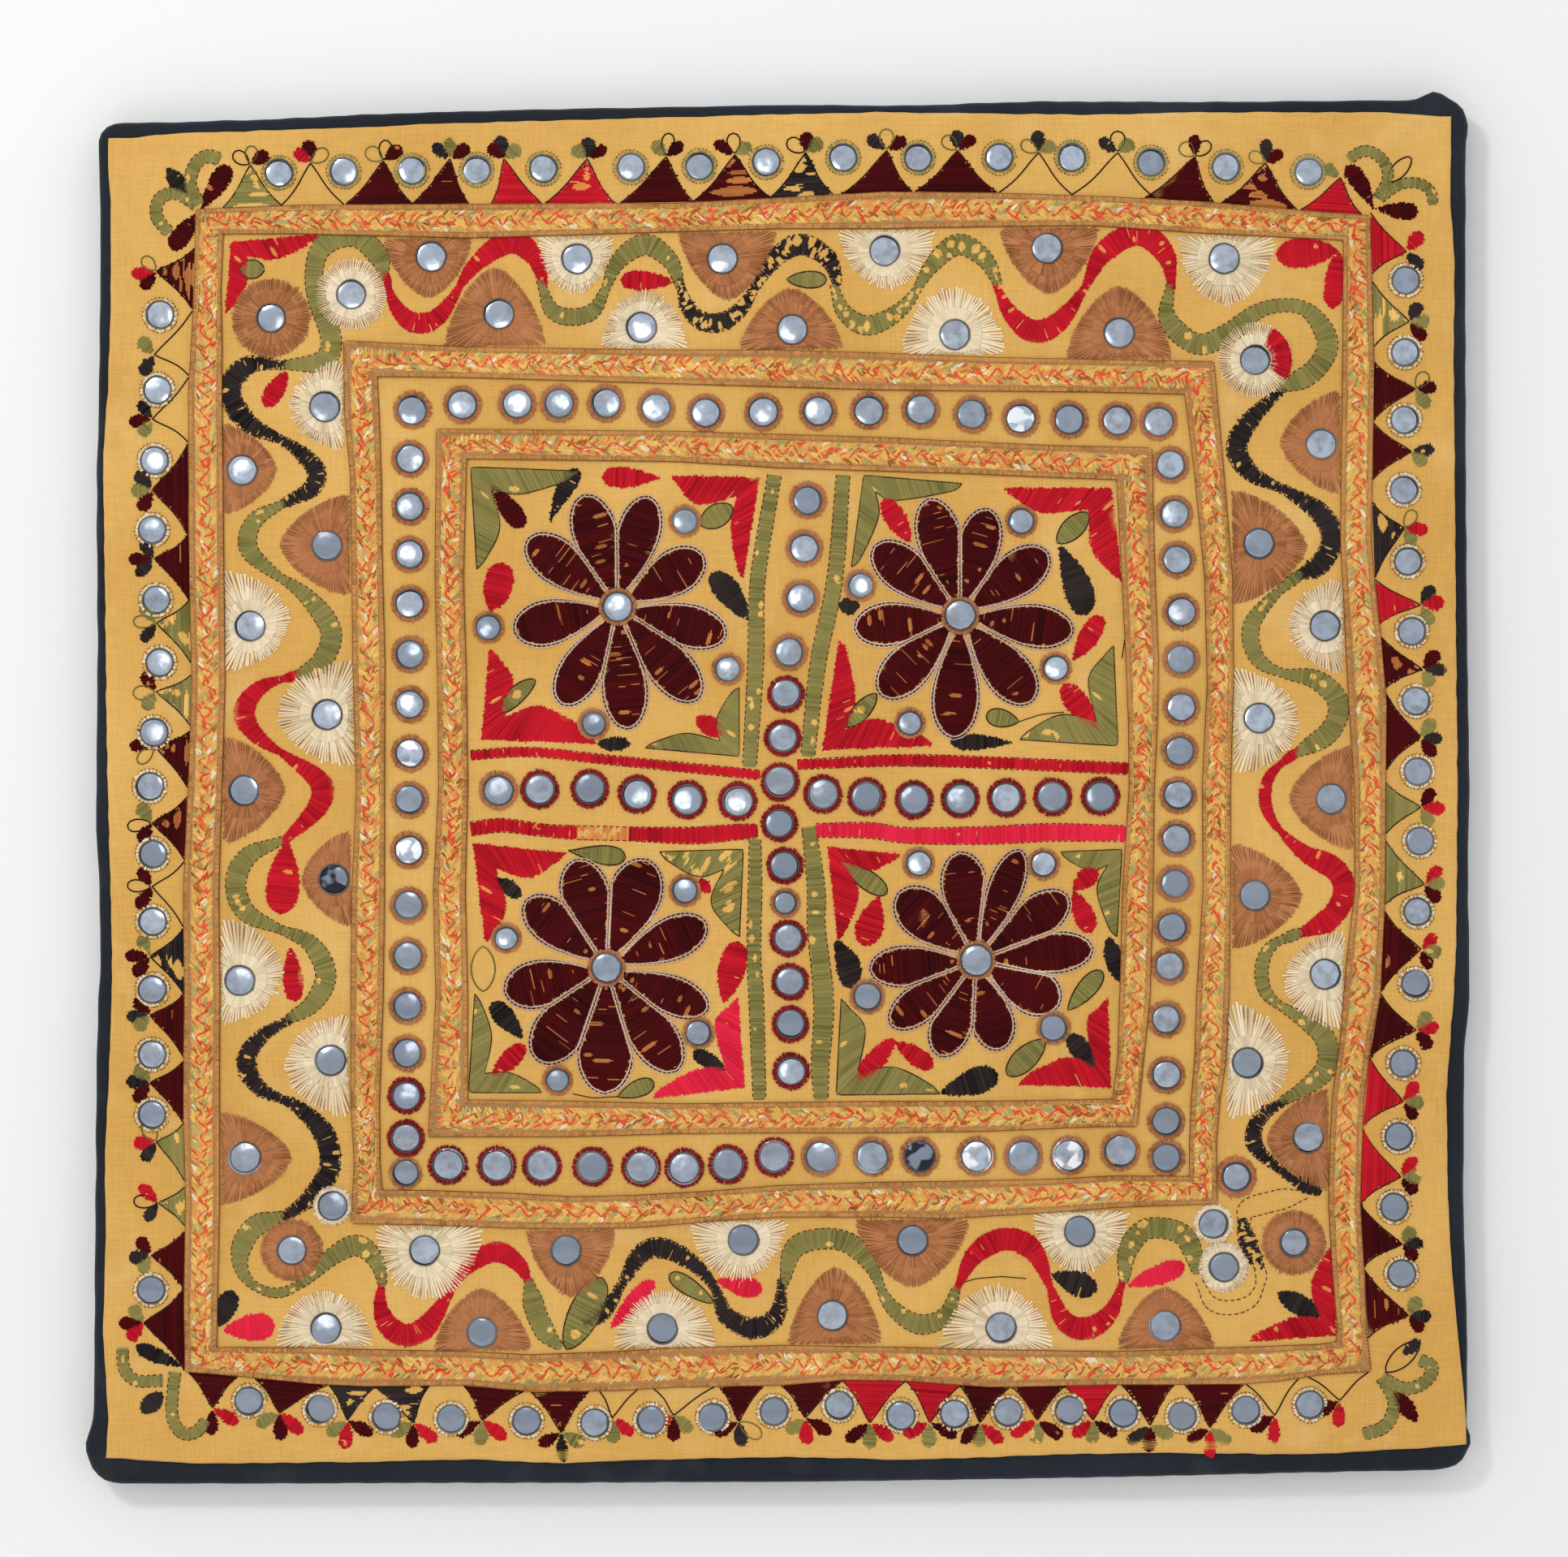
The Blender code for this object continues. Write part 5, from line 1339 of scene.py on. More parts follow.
def half_moon(thread, flat_side, mirror, span, reach, flat):
    """A half disc of spokes round a mirror: flat on one side, round and ragged on the other."""
    round_power, outer_count, spiky, thick, gap_shadow_share, gap_shadow_thread = MOON_KINDS[thread]
    centre = (flat, sum(span) / 2) if flat_side in ("left", "right") else (sum(span) / 2, flat)
    half = abs(span[1] - span[0]) / 2
    deep = abs(reach - flat)
    away = math.radians({"up": -90.0, "down": 90.0, "left": 0.0, "right": 180.0}[flat_side])
    outward = np.array((math.cos(away), math.sin(away)))
    beside = np.array((-outward[1], outward[0]))
    middle = np.array(mirror)
    turn, spoke = spokes(84, wobble=0.15)
    # How far each spoke runs before it meets the outline, found by halving
    far = np.empty(len(spoke))
    for number, ahead in enumerate(spoke):
        low, high = 0.0, 80.0
        for _ in range(24):
            trial = (low + high) / 2
            place = middle + ahead * trial - centre
            depth = place @ outward
            side = abs(place @ beside)
            inside = depth > 0 and (depth / deep) ** round_power + (side / half) ** round_power < 1
            low, high = (trial, high) if inside else (low, trial)
        far[number] = low
    start = MOON_GLASS + 0.9
    room = np.maximum(far - start, 0.0)
    split = start + np.minimum(room * 0.45, 5.0) + chance.normal(0, 0.2, len(spoke))
    kept = room > 0.8
    sew(thread, (middle + spoke * (start - 0.8))[kept], (middle + spoke * split[:, None])[kept],
        girth=1.25, rise=0.6, lift=0.4)
    outer_turn, spoke = spokes(outer_count, 0.5)
    far, split = [np.interp(outer_turn, np.append(turn, math.tau), np.append(ends, ends[0]))
                  for ends in (far, split)]
    kept = far - split > 1.0
    tips = far + chance.normal(-0.2, spiky, outer_count)
    strand = math.tau / outer_count * (far + split) / 2
    sew(thread, (middle + spoke * (split[:, None] - 0.6))[kept],
        (middle + spoke * tips[:, None])[kept], girth=thick * strand[kept], lift=0.1)
    # Thin dark strands between the outer spokes: painted shadow in the gaps between them
    between = directions(outer_turn + 0.5 * math.tau / outer_count)
    kept = kept & (chance.random(outer_count) < gap_shadow_share)
    near = split + chance.uniform(0.25, 0.6, outer_count) * (far - split)
    sew(gap_shadow_thread, (middle + between * near[:, None])[kept],
        (middle + between * (far - 0.6)[:, None])[kept], girth=0.34 * strand[kept], lift=0.16)
    glass_ring(*mirror, MOON_GLASS)


def sun(thread, mirror, reach):
    """A whole disc of spokes round a mirror."""
    split = SUN_GLASS + (reach - SUN_GLASS) * 0.5
    gap_shadow_thread = MOON_KINDS[thread][-1]
    for colour, count, shift, near, far, girth, lift in (
        (thread, 76, 0.0, SUN_GLASS + 0.1, split, 1.2, 0.45),
        (thread, 84, 0.0, split - 0.8, reach, 1.15 if thread == "tan" else 0.85, 0.1),
        # This row is thin dark strands between the spokes: painted shadow in their gaps
        (gap_shadow_thread, 84, 0.5, split + 1.4, reach - 0.6, 0.36, 0.16),
    ):
        spoke = spokes(count, shift)[1]
        ends = far + chance.normal(0, 0.35, count)
        sew(colour, mirror + spoke * near, mirror + spoke * ends[:, None],
            girth=girth, rise=0.45, lift=lift)
    glass_ring(*mirror, SUN_GLASS)


def triangle(thread, base_a, base_b, apex, worn, outline):
    """A tooth of satin stitches laid parallel to its base."""
    base_a, base_b, apex = np.array((base_a, base_b, apex), float)
    share = np.linspace(0, 1, 20)[:, None]
    pinch = 1 - 0.16 * np.sin(math.pi * share)
    middle = (base_a + base_b) / 2
    spine = middle + share * (apex - middle)
    edge_a = spine + (1 - share) * pinch * (base_a - middle)
    edge_b = spine + (1 - share) * pinch * (base_b - middle)
    if thread:
        fill_between(thread, edge_a, edge_b, worn=worn, ragged=0.5, pitch=0.74, girth=1.0)
    lay(outline, edge_a, girth=0.7)
    lay(outline, edge_b, girth=0.7)


def sprig(apex, heading, colours, long):
    """Three small petals that stand on the tip of a tooth, heading in degrees."""
    for colour, side in zip(colours, (54, 0, -54)):
        thread = SPRIG_COLOURS.get(colour.upper())
        if not thread:
            continue
        turn = math.radians(heading + side + chance.normal(0, 5))
        ahead = np.array((math.cos(turn), math.sin(turn)))
        root = apex + ahead * 0.8
        tip = root + ahead * long * chance.uniform(0.88, 1.08) * (0.9 if thread == "green" else 1.0)
        width = chance.uniform(5.8, 7.0)
        if colour.isupper():
            leaf(thread, root, tip, width, fat=0.64, worn=0.04, blunt=0.55)
        else:
            leaf(None, root, tip, width, fat=0.6, edge=thread)


def threads_to_points(rows):
    """Places, turns, sizes and tones of gathered stitches."""
    u, v, turn, length, girth, rise, lift, tone = np.concatenate(rows).T
    places = all_at(u, v, cloth_rise(u, v) + STITCH_SEAT + lift)
    turns = np.stack((np.zeros_like(turn), -turn, np.zeros_like(turn)), axis=1)
    return places, turns, np.stack((length, rise, girth), axis=1) * MM, tone


def new_material(name, roughness):
    """A Principled material, its tree, its shader and the places on the piece it is read at."""
    made = bpy.data.materials.new(name)
    made.use_nodes = True
    tree = made.node_tree
    shader = tree.nodes["Principled BSDF"]
    shader.inputs["Roughness"].default_value = roughness
    return made, tree, shader, tree.nodes.new("ShaderNodeTexCoord").outputs["Object"]


def mixed(tree, share, low, high):
    """A colour between two, by a share from a socket."""
    node = tree.nodes.new("ShaderNodeMix")
    node.data_type = "RGBA"
    tree.links.new(share, node.inputs["Factor"])
    for socket, value in ((node.inputs[6], low), (node.inputs[7], high)):
        if isinstance(value, bpy.types.NodeSocket):
            tree.links.new(value, socket)
        else:
            socket.default_value = (*value, 1.0)
    return node.outputs[2]


def ranged(tree, value, **ends):
    """A value stretched between new ends, such as From_Min and To_Max."""
    feeds = [("Value", value)] + [(label.replace("_", " "), end) for label, end in ends.items()]
    return joined(tree, "ShaderNodeMapRange", feeds).outputs["Result"]


def noise(tree, where, scale, detail):
    """Even noise over the piece."""
    feeds = (("Vector", where), ("Scale", scale), ("Detail", detail))
    return joined(tree, "ShaderNodeTexNoise", feeds).outputs["Fac"]


def clouded(tree, where, scale, detail, low=0.35, high=0.65):
    """A soft cloudy mask from noise, stretched between two levels."""
    return ranged(tree, noise(tree, where, scale, detail), From_Min=low, From_Max=high)


def tinted(tree, shader, colour, shade):
    """Give the surface a colour, made lighter or darker by a shade."""
    tint = joined(tree, "ShaderNodeVectorMath", ((0, colour), ("Scale", shade)), operation="SCALE")
    tree.links.new(tint.outputs[0], shader.inputs["Base Color"])


def bumped(tree, shader, height, distance, strength):
    """Raise the surface by a height."""
    feeds = (("Height", height), ("Distance", distance), ("Strength", strength))
    bump = joined(tree, "ShaderNodeBump", feeds)
    tree.links.new(bump.outputs["Normal"], shader.inputs["Normal"])


def stored_tone(tree):
    """The tone stored on each stitch or mirror."""
    node = joined(tree, "ShaderNodeAttribute", attribute_type="GEOMETRY", attribute_name="tone")
    return node.outputs["Fac"]


def effect_group(name, inputs, outputs):
    """An empty shader group: its inputs as label and kind, and its outputs, all values."""
    group = bpy.data.node_groups.new(name, "ShaderNodeTree")
    for label, kind in inputs:
        group.interface.new_socket(label, in_out="INPUT", socket_type=kind)
    for label in outputs:
        group.interface.new_socket(label, in_out="OUTPUT", socket_type="NodeSocketFloat")
    return group, group.nodes.new("NodeGroupInput").outputs, group.nodes.new("NodeGroupOutput")


def used_group(tree, group, feeds=()):
    """A group placed in a material with its inputs fed."""
    node = tree.nodes.new("ShaderNodeGroup")
    node.node_tree = group
    feed(tree, node, feeds)
    return node.outputs


def weave_group():
    """Crossing threads of plain cloth: a height and a mask of slubby threads."""
    inputs = (("Where", "NodeSocketVector"), ("Threads", "NodeSocketFloat"))
    tree, given, out = effect_group("Plain weave", inputs, ("Height", "Slub"))
    heights = []
    slubs = []
    for direction, stretch in (("X", (1.0, 1.0, 0.06)), ("Z", (0.06, 1.0, 1.0))):
        wave_node = joined(tree, "ShaderNodeTexWave", (
            ("Vector", given["Where"]), ("Scale", given["Threads"]),
            ("Distortion", 1.4), ("Detail", 2.0), ("Detail Scale", 0.6),
        ), wave_type="BANDS", bands_direction=direction)
        heights.append(wave_node.outputs["Fac"])
        stretched = joined(tree, "ShaderNodeVectorMath", (
            (0, given["Where"]), (1, stretch),
        ), operation="MULTIPLY")
        slubs.append(noise(tree, stretched.outputs[0], 1400.0, 2.0))
    slub = ranged(tree, maths(tree, "ADD", *slubs), From_Min=0.72, From_Max=1.28)
    tree.links.new(maths(tree, "MAXIMUM", *heights), out.inputs["Height"])
    tree.links.new(slub, out.inputs["Slub"])
    return tree


def cotton(name, weave, light, dark, worn, threads):
    """Plain cotton: crossing threads, slubs and the faded and stained clouds of age."""
    made, tree, shader, where = new_material(name, 0.9)
    cloth = used_group(tree, weave, (("Where", where), ("Threads", threads)))
    mottled = mixed(tree, clouded(tree, where, 9.0, 4.0), dark, light)
    spots = maths(tree, "MULTIPLY", clouded(tree, where, 34.0, 5.0, 0.56, 0.74), 0.6)
    shade = ranged(tree, cloth["Slub"], To_Min=0.90, To_Max=1.06)
    tinted(tree, shader, mixed(tree, spots, mottled, worn), shade)
    shader.inputs["Sheen Weight"].default_value = 0.15
    shader.inputs["Specular IOR Level"].default_value = 0.25
    bumped(tree, shader, cloth["Height"], 0.00012, 0.7)
    return made


def spun_group():
    """Spun thread: its fuzz as a height, and a shade that changes from stitch to stitch and darkens
    where the fuzz sinks, as painted shade.
    """
    tree, _, out = effect_group("Spun thread", (), ("Height", "Shade"))
    fuzz = noise(tree, tree.nodes.new("ShaderNodeTexCoord").outputs["Object"], 1700.0, 2.0)
    # The fuzz lightens and darkens the colour with its own height: painted shade, added to the
    # stitch's random tone
    both = maths(tree, "MULTIPLY_ADD", fuzz, 0.35, stored_tone(tree))
    tree.links.new(fuzz, out.inputs["Height"])
    tree.links.new(ranged(tree, both, From_Min=0.2, From_Max=1.15), out.inputs["Shade"])
    return tree


def thread_material(name, spun_thread, dark, light):
    """Cotton thread whose shade changes from stitch to stitch, faded in clouds."""
    made, tree, shader, where = new_material(name, 0.6)
    spun = used_group(tree, spun_thread)
    body = mixed(tree, spun["Shade"], dark, light)
    faded = mixed(tree, clouded(tree, where, 26.0, 3.0, 0.45, 0.8), body, light)
    tree.links.new(faded, shader.inputs["Base Color"])
    shader.inputs["Specular IOR Level"].default_value = 0.06
    bumped(tree, shader, spun["Height"], 0.00015, 0.6)
    return made


def braid_material():
    """Golden braid: ribs that slant to its middle, their grooves painted darker as shade, with darker
    woven edges.
    """
    made, tree, shader, where = new_material("Woven golden braid", 0.6)
    lie = joined(tree, "ShaderNodeUVMap", uv_map="lie").outputs["UV"]
    parts = joined(tree, "ShaderNodeSeparateXYZ", (("Vector", lie),)).outputs
    across = maths(tree, "ABSOLUTE", parts["Y"])
    slant = maths(tree, "MULTIPLY_ADD", across, 0.9, parts["X"])
    ribs = maths(tree, "SINE", maths(tree, "MULTIPLY", slant, 5200.0))
    edge = ranged(tree, across, From_Min=0.0043, From_Max=0.0054)
    gold = mixed(tree, clouded(tree, where, 60.0, 4.0), (0.80, 0.43, 0.075), (0.88, 0.54, 0.125))
    # The ribs darken the colour in their grooves as well as raising the surface: painted shade
    shade = ranged(tree, ribs, From_Min=-1.0, To_Min=0.80, To_Max=1.06)
    tinted(tree, shader, mixed(tree, edge, gold, (0.48, 0.22, 0.055)), shade)
    shader.inputs["Sheen Weight"].default_value = 0.2
    bumped(tree, shader, ribs, 0.0002, 0.7)
    return made


def glass_material():
    """Old mirror glass: grey-blue, a little cloudy and scratched.

    A tone past 1 brings white patches that are painted glints, and one below 0 shows where the silver
    is lost.
    """
    made, tree, shader, where = new_material("Old mirror glass", 0.14)
    tone = stored_tone(tree)
    body = mixed(tree, tone, (0.25, 0.29, 0.36), (0.50, 0.55, 0.63))
    cloudy = clouded(tree, where, 240.0, 3.0, 0.4, 0.75)
    spotted = mixed(tree, cloudy, body, (0.26, 0.28, 0.31))
    patches = clouded(tree, where, 130.0, 1.0, 0.47, 0.53)
    blind = ranged(tree, tone, From_Min=-0.01, From_Max=-1.0, To_Max=0.92)
    painted_glint = ranged(tree, tone, From_Min=1.01, From_Max=2.0)
    lost = mixed(tree, maths(tree, "MULTIPLY", blind, patches), spotted, (0.010, 0.010, 0.012))
    lit = mixed(tree, maths(tree, "MULTIPLY", painted_glint, patches), lost, (0.96, 0.97, 1.0))
    tree.links.new(lit, shader.inputs["Base Color"])
    shader.inputs["Metallic"].default_value = 1.0
    tree.links.new(ranged(tree, cloudy, To_Min=0.10, To_Max=0.24), shader.inputs["Roughness"])
    bumped(tree, shader, noise(tree, where, 110.0, 1.0), 0.0006, 0.5)
    return made


def pine_material():
    """Bare pine with its grain along the wood."""
    made, tree, shader, where = new_material("Bare pine", 0.6)
    ring = joined(tree, "ShaderNodeTexWave", (
        ("Vector", where), ("Scale", 55.0),
        ("Distortion", 9.0), ("Detail", 3.0), ("Detail Scale", 0.8),
    ), wave_type="RINGS", rings_direction="Y").outputs["Fac"]
    grain = mixed(tree, ring, (0.44, 0.27, 0.12), (0.62, 0.43, 0.22))
    whole = mixed(tree, noise(tree, where, 30.0, 4.0), grain, (0.55, 0.37, 0.19))
    tree.links.new(whole, shader.inputs["Base Color"])
    bumped(tree, shader, ring, 0.0002, 0.5)
    return made


def stage_material(name, colour, one_sided):
    """A plain pale surface. A one-sided one shows only to the camera in front of it."""
    made, tree, shader, _ = new_material(name, 0.85)
    shader.inputs["Base Color"].default_value = (*colour, 1.0)
    shader.inputs["Specular IOR Level"].default_value = 0.2
    if one_sided:
        facing = tree.nodes.new("ShaderNodeNewGeometry")
        ray = tree.nodes.new("ShaderNodeLightPath")
        front = maths(tree, "SUBTRACT", 1.0, facing.outputs["Backfacing"])
        clear = tree.nodes.new("ShaderNodeBsdfTransparent")
        blend = joined(tree, "ShaderNodeMixShader", (
            (0, maths(tree, "MULTIPLY", front, ray.outputs["Is Camera Ray"])),
            (1, clear.outputs[0]), (2, shader.outputs[0]),
        ))
        tree.links.new(blend.outputs[0], tree.nodes["Material Output"].inputs["Surface"])
    return made


def edge_stitches(sides):
    """The stitches over both edges of a braid, the line beside them and the strands between."""
    outer, inner = finer_pair(*braid_edges(sides), BRAID_EDGE_STEP)
    across = inner - outer
    width = np.linalg.norm(across, axis=1, keepdims=True)
    across /= width
    for edge, inward in ((outer, across), (inner, across * -1)):
        start = edge + inward * 0.1
        end = edge + inward * (1.8 + chance.normal(0, 0.25, (len(edge), 1)))
        lift = above_cloth((start + end) / 2, BRAID_SEAT + 1.0)
        sew("brown_edge", start, end, girth=1.15, rise=0.5, lift=lift)
    for edge, inward in ((outer, across), (inner, across * -1)):
        rim = edge + inward * 0.15
        laid.setdefault("dark_tan", []).append((rim, BRAID_SEAT + 0.75, 0.8, False))
        line = edge + inward * 2.35 + chance.normal(0, 0.12, edge.shape)
        lift = above_cloth(line[:-1], BRAID_TOP)
        kept = chance.random(len(line) - 1) < 0.62
        sew("dark_tan", line[:-1][kept], line[1:][kept], girth=0.55, lift=lift[kept])
    middle_stitches(outer, across, width)


def middle_stitches(outer, across, width):
    """The slanting strands of many colours and the wavy coral line along the middle of a braid."""
    whole = np.arange(0.0, len(outer) - 1.001, BRAID_STRAND_STEP).astype(int)
    count = len(whole)
    forward = np.arctan2(-across[whole, 0], across[whole, 1])
    for level, slant in BRAID_STRANDS:
        offset = level + chance.normal(0, 0.03, (count, 1))
        place = outer[whole] + across[whole] * width[whole] * offset
        heading = forward + np.radians(slant + chance.normal(0, 13, count))
        half = directions(heading) * chance.uniform(1.1, 1.9, (count, 1))
        lift = above_cloth(place, BRAID_TOP + chance.normal(0, 0.06, count))
        pick = np.repeat(chance.random(count), chance.integers(1, 3, count))[:count]
        low = 0.0
        for thread, share in BRAID_MIX:
            taken = (pick >= low) & (pick < low + share)
            low += share
            sew(thread, (place - half)[taken], (place + half)[taken], girth=1.15, lift=lift[taken])
    run = np.cumsum(chance.integers(3, 7, len(outer) // 3))
    run = run[run < len(outer) - 1]
    side = 0.5 + np.where(np.arange(len(run)) % 2 == 0, 0.17, -0.17)
    side = side + chance.normal(0, 0.04, len(run))
    path = even_path(smooth_path(outer[run] + across[run] * width[run] * side[:, None], 0.8), 1.4)
    kept = chance.random(len(path) - 1) < 0.85
    start = path[:-1][kept]
    lift = above_cloth(start, BRAID_TOP + 0.25)
    sew("coral", start, path[1:][kept], girth=0.95, rise=0.45, lift=lift)


def petal_ring(middle, heading, near, far, width, gaps, keep_off):
    """Both edges of a petal from root to tip, kept inside its share of the flower.

    Also tells which points of each edge stand free of the petal beside it.
    """
    turn = math.radians(heading)
    ahead = np.array((math.cos(turn), math.sin(turn)))
    left = np.array((-ahead[1], ahead[0]))
    share = np.linspace(0.0, 1.0, 33)
    out = near + share * (far - near)
    half = 0.5 * width * np.sin(math.pi * share ** 1.553) ** 0.5
    edges = []
    free = []
    for gap, way in zip(gaps, (1, -1)):
        room = np.maximum(out * math.tan(gap) - keep_off / math.cos(gap), 0.0)
        edges.append(middle + out[:, None] * ahead + (way * np.minimum(half, room))[:, None] * left)
        free.append(half < room - 0.3)
    return edges, free


def petal(middle, heading, reach, width, gaps):
    """One maroon petal with a double chain outline that runs back to the mirror."""
    (edge_a, edge_b), _ = petal_ring(middle, heading, 7.0, reach, width, gaps, 1.15)
    clear = np.linalg.norm((edge_a + edge_b) / 2 - middle, axis=1) > PETAL_START
    fill_between("maroon", edge_a[clear], edge_b[clear], worn=0.21, girth=1.05, pitch=0.68)
    (edge_a, edge_b), _ = petal_ring(middle, heading, 6.4, reach + 0.55, width + 1.1, gaps, 0.55)
    ring = np.vstack((edge_a, edge_b[-2::-1]))
    ring = ring[np.linalg.norm(ring - middle, axis=1) > PETAL_START]
    lay("blush", ring, girth=0.75, lift=0.3)
    rims = []
    for near, out, wider, keep_off in ((6.0, 1.9, 3.8, 0.1), (6.2, 1.25, 2.5, 0.0)):
        (edge_a, edge_b), (free_a, free_b) = petal_ring(
            middle, heading, near, reach + out, width + wider, gaps, keep_off)
        rims.append(np.vstack((edge_a[free_a], edge_b[free_b][-2::-1])))
    lay("blush", rims[0], girth=0.65, lift=0.3)
    tick_line("black", rims[1], long=1.4, gap=0.9, girth=0.95)


def flower(middle, petals):
    """A mirror with its petals, each kept clear of the ones beside it."""
    turns = np.array([row[0] for row in petals], float)
    for heading, reach, width in petals:
        apart = (turns - heading + 180.0) % 360.0 - 180.0
        gaps = (apart[apart > 1].min() / 2, -apart[apart < -1].max() / 2)
        gaps = [math.radians(min(gap, 40.0)) for gap in gaps]
        petal(np.array(middle), heading, reach, width, gaps)
    stitched_rim("tan", *middle, 7.4, reach=1.6, count=44)


def wave(thread, worn, points):
    """A stretch of the wavy band, widest where it turns."""
    step = 1.5
    path = smooth_path(points, step)
    first = path[0] + 1.3 * (path[0] - path[1])
    last = path[-1] + 1.3 * (path[-1] - path[-2])
    path = np.vstack((first, path, last))
    level = abs(path[:, 1]).mean() > 195 and np.ptp(path[:, 0]) > np.ptp(path[:, 1])
    off = abs(abs(path[:, 1 if level else 0]) - BAND_MIDDLE)
    width = 3.2 + (7.6 if thread in ("red", "pink") else 6.0) * np.clip(off / 20, 0, 1)
    near_end = np.minimum(np.arange(len(path)), np.arange(len(path))[::-1]) * step
    width = np.minimum(width, 3.0 + near_end * 0.6)
    outline = "dark_brown" if thread != "red" else None
    ribbon(thread, np.column_stack((path, width)), worn, outline, 0.5 if thread == "black" else 0.16)


def border_tooth(side, low, high, place, across, thread, worn, colours):
    """One tooth of the outer border with the sprig on its tip."""
    heading, long = SPRIG_LIE[side]
    way = 1 if side in ("top", "right") else -1
    base = along(BRAIDS["outer"][side], (low, high)) + way * 0.6
    if side in ("left", "right"):
        ends = [(base[0], low), (base[1], high)]
        apex = (across, place)
    else:
        ends = [(low, base[0]), (high, base[1])]
        apex = (place, across)
    triangle(thread, *ends, apex, worn, "dark_brown" if worn < 0.3 and thread else "black")
    sprig(apex, heading, colours[::way], long)


def rim_thread(u, v):
    """The colour of the stitches that hold a mirror, by where it is sewn."""
    if max(abs(u), abs(v)) > 172:
        return "dark_red" if (v < -174 and u < 0) or (u < -174 and v < -140) else "tan"
    if abs(u) < 16 and v < 50 or abs(v) < 14 and u > -130:
        return "dark_red"
    return "tan"


def mirror_places():
    """Every mirror as (u, v, glass radius)."""
    places = []
    for upright, radius, stops, line in MIRROR_ROWS:
        for stop in stops:
            across = float(along(line, stop))
            places.append((across, stop, radius) if upright else (stop, across, radius))
    return places + list(SINGLE_MIRRORS)


def sew_rims():
    """The stitched rim of every mirror that no disc of spokes holds."""
    dressed = {row[2] for row in HALF_MOONS} | {row[1] for row in SUNS}
    for u, v, radius in mirror_places():
        if (u, v) in dressed:
            continue
        if (u, v, radius) in SINGLE_MIRRORS:
            stitched_rim("tan", u, v, radius, reach=2.0, count=44)
        elif max(abs(u), abs(v)) > 290:
            stitched_rim("cream" if v < 290 else "sage", u, v, radius, reach=1.7, count=40, worn=0.25)
            tick_line("dark_tan", ring_points(u, v, radius + 2.1, 26), long=1.0, gap=0.9)
        else:
            stitched_rim(rim_thread(u, v), u, v, radius)
        glass_ring(u, v, radius)


def embroider():
    """Every motif on the yellow cloth."""
    for thread, worn, points in STRIPES:
        ribbon(thread, points, worn, "dark_brown" if thread == "green" else "dark_red", 0.18)
    for row in WAVES:
        wave(*row)
    for row in CORNER_SPRAYS:
        corner_spray(*row)
    for thread, root, tip, width, fat, bow in LEAVES:
        edge = "dark_brown" if thread == "green" else None
        leaf(thread, root, tip, width, fat, bow, worn=0.12, edge=edge)
    for thread, root, tip, width in OUTLINED_LEAVES:
        leaf(None, root, tip, width, edge=thread)
    for points, width in CURLS:
        ribbon("green", [(*point, width) for point in points], 0.1, "dark_brown", 0.15)
    for middle, petals in FLOWERS:
        flower(middle, petals)
    for row in HALF_MOONS:
        half_moon(*row)
    for row in SUNS:
        sun(*row)
    for side, rows in TEETH.items():
        for row in rows:
            border_tooth(side, *row)
    for thread, points in LINES:
        lay(thread, even_path(points, 3.0), girth=0.5)
    leaf("orange", *SPOT)
    middle, first, last, count, near, far = RED_SPOKES
    spoke = directions(np.radians(np.linspace(first, last, count)))
    sew("red", middle + spoke * near, middle + spoke * far, girth=1.5, rise=0.6, lift=GLASS_SEAT)
    sew_rims()


def hang_mirrors(tree, finish):
    """All the small mirrors, each tipped a little its own way."""
    table = np.array(mirror_places())
    u, v, radius = table.T
    count = len(table)
    turns = np.stack((chance.normal(0, MIRROR_TIP, count), np.zeros(count),
                      chance.normal(0, MIRROR_TIP, count)), axis=1)
    # The row near v = -179 shows more of its glass
    glass = radius + np.where(np.abs(v + 179) < 4, 1.1, 0.35)
    sizes = np.stack((glass, np.full(count, 2.2), glass), axis=1) * MM
    # The tone rises towards the top, making the upper mirrors more reflective: painted light for
    # their brighter reflections, on top of a random tone
    tones = np.clip(chance.normal(0.5, 0.3, count) + 0.4 * v / 325.0, 0, 1)
    for odd_u, odd_v, tone in ODD_MIRRORS:
        tones[np.argmin(np.hypot(u - odd_u, v - odd_v))] = tone
    places = all_at(u, v, cloth_rise(u, v) + GLASS_SEAT)
    mesh = point_mesh("Mirror places", places, turns, sizes, tones)
    shape = unit_glass()
    piece = grown("Small_mirrors", mesh, tree, {
        "Shape": shape, "Finish": finish, "Size Change": 0.02, "Seed": 5,
    })
    bpy.data.objects.remove(shape, do_unlink=True)
    return piece


def sew_all(copies, cords, finishes):
    """Turn the gathered stitches and laid threads of each colour into pieces."""
    made = []
    shape = unit_stitch()
    for thread, rows in sewn.items():
        mesh = point_mesh(thread + " stitch places", *threads_to_points(rows))
        made.append(grown(thread.capitalize() + "_stitches", mesh, copies, {
            "Shape": shape, "Finish": finishes[thread], "Size Change": 0.04, "Seed": 11,
        }))
    bpy.data.objects.remove(shape, do_unlink=True)
    for thread, paths in laid.items():
        mesh = path_mesh(thread + " paths", paths)
        made.append(grown(thread.capitalize() + "_laid_thread", mesh, cords, {
            "Finish": finishes[thread], "Spacing": 0.0022, "Sides": 4,
        }))
    return made


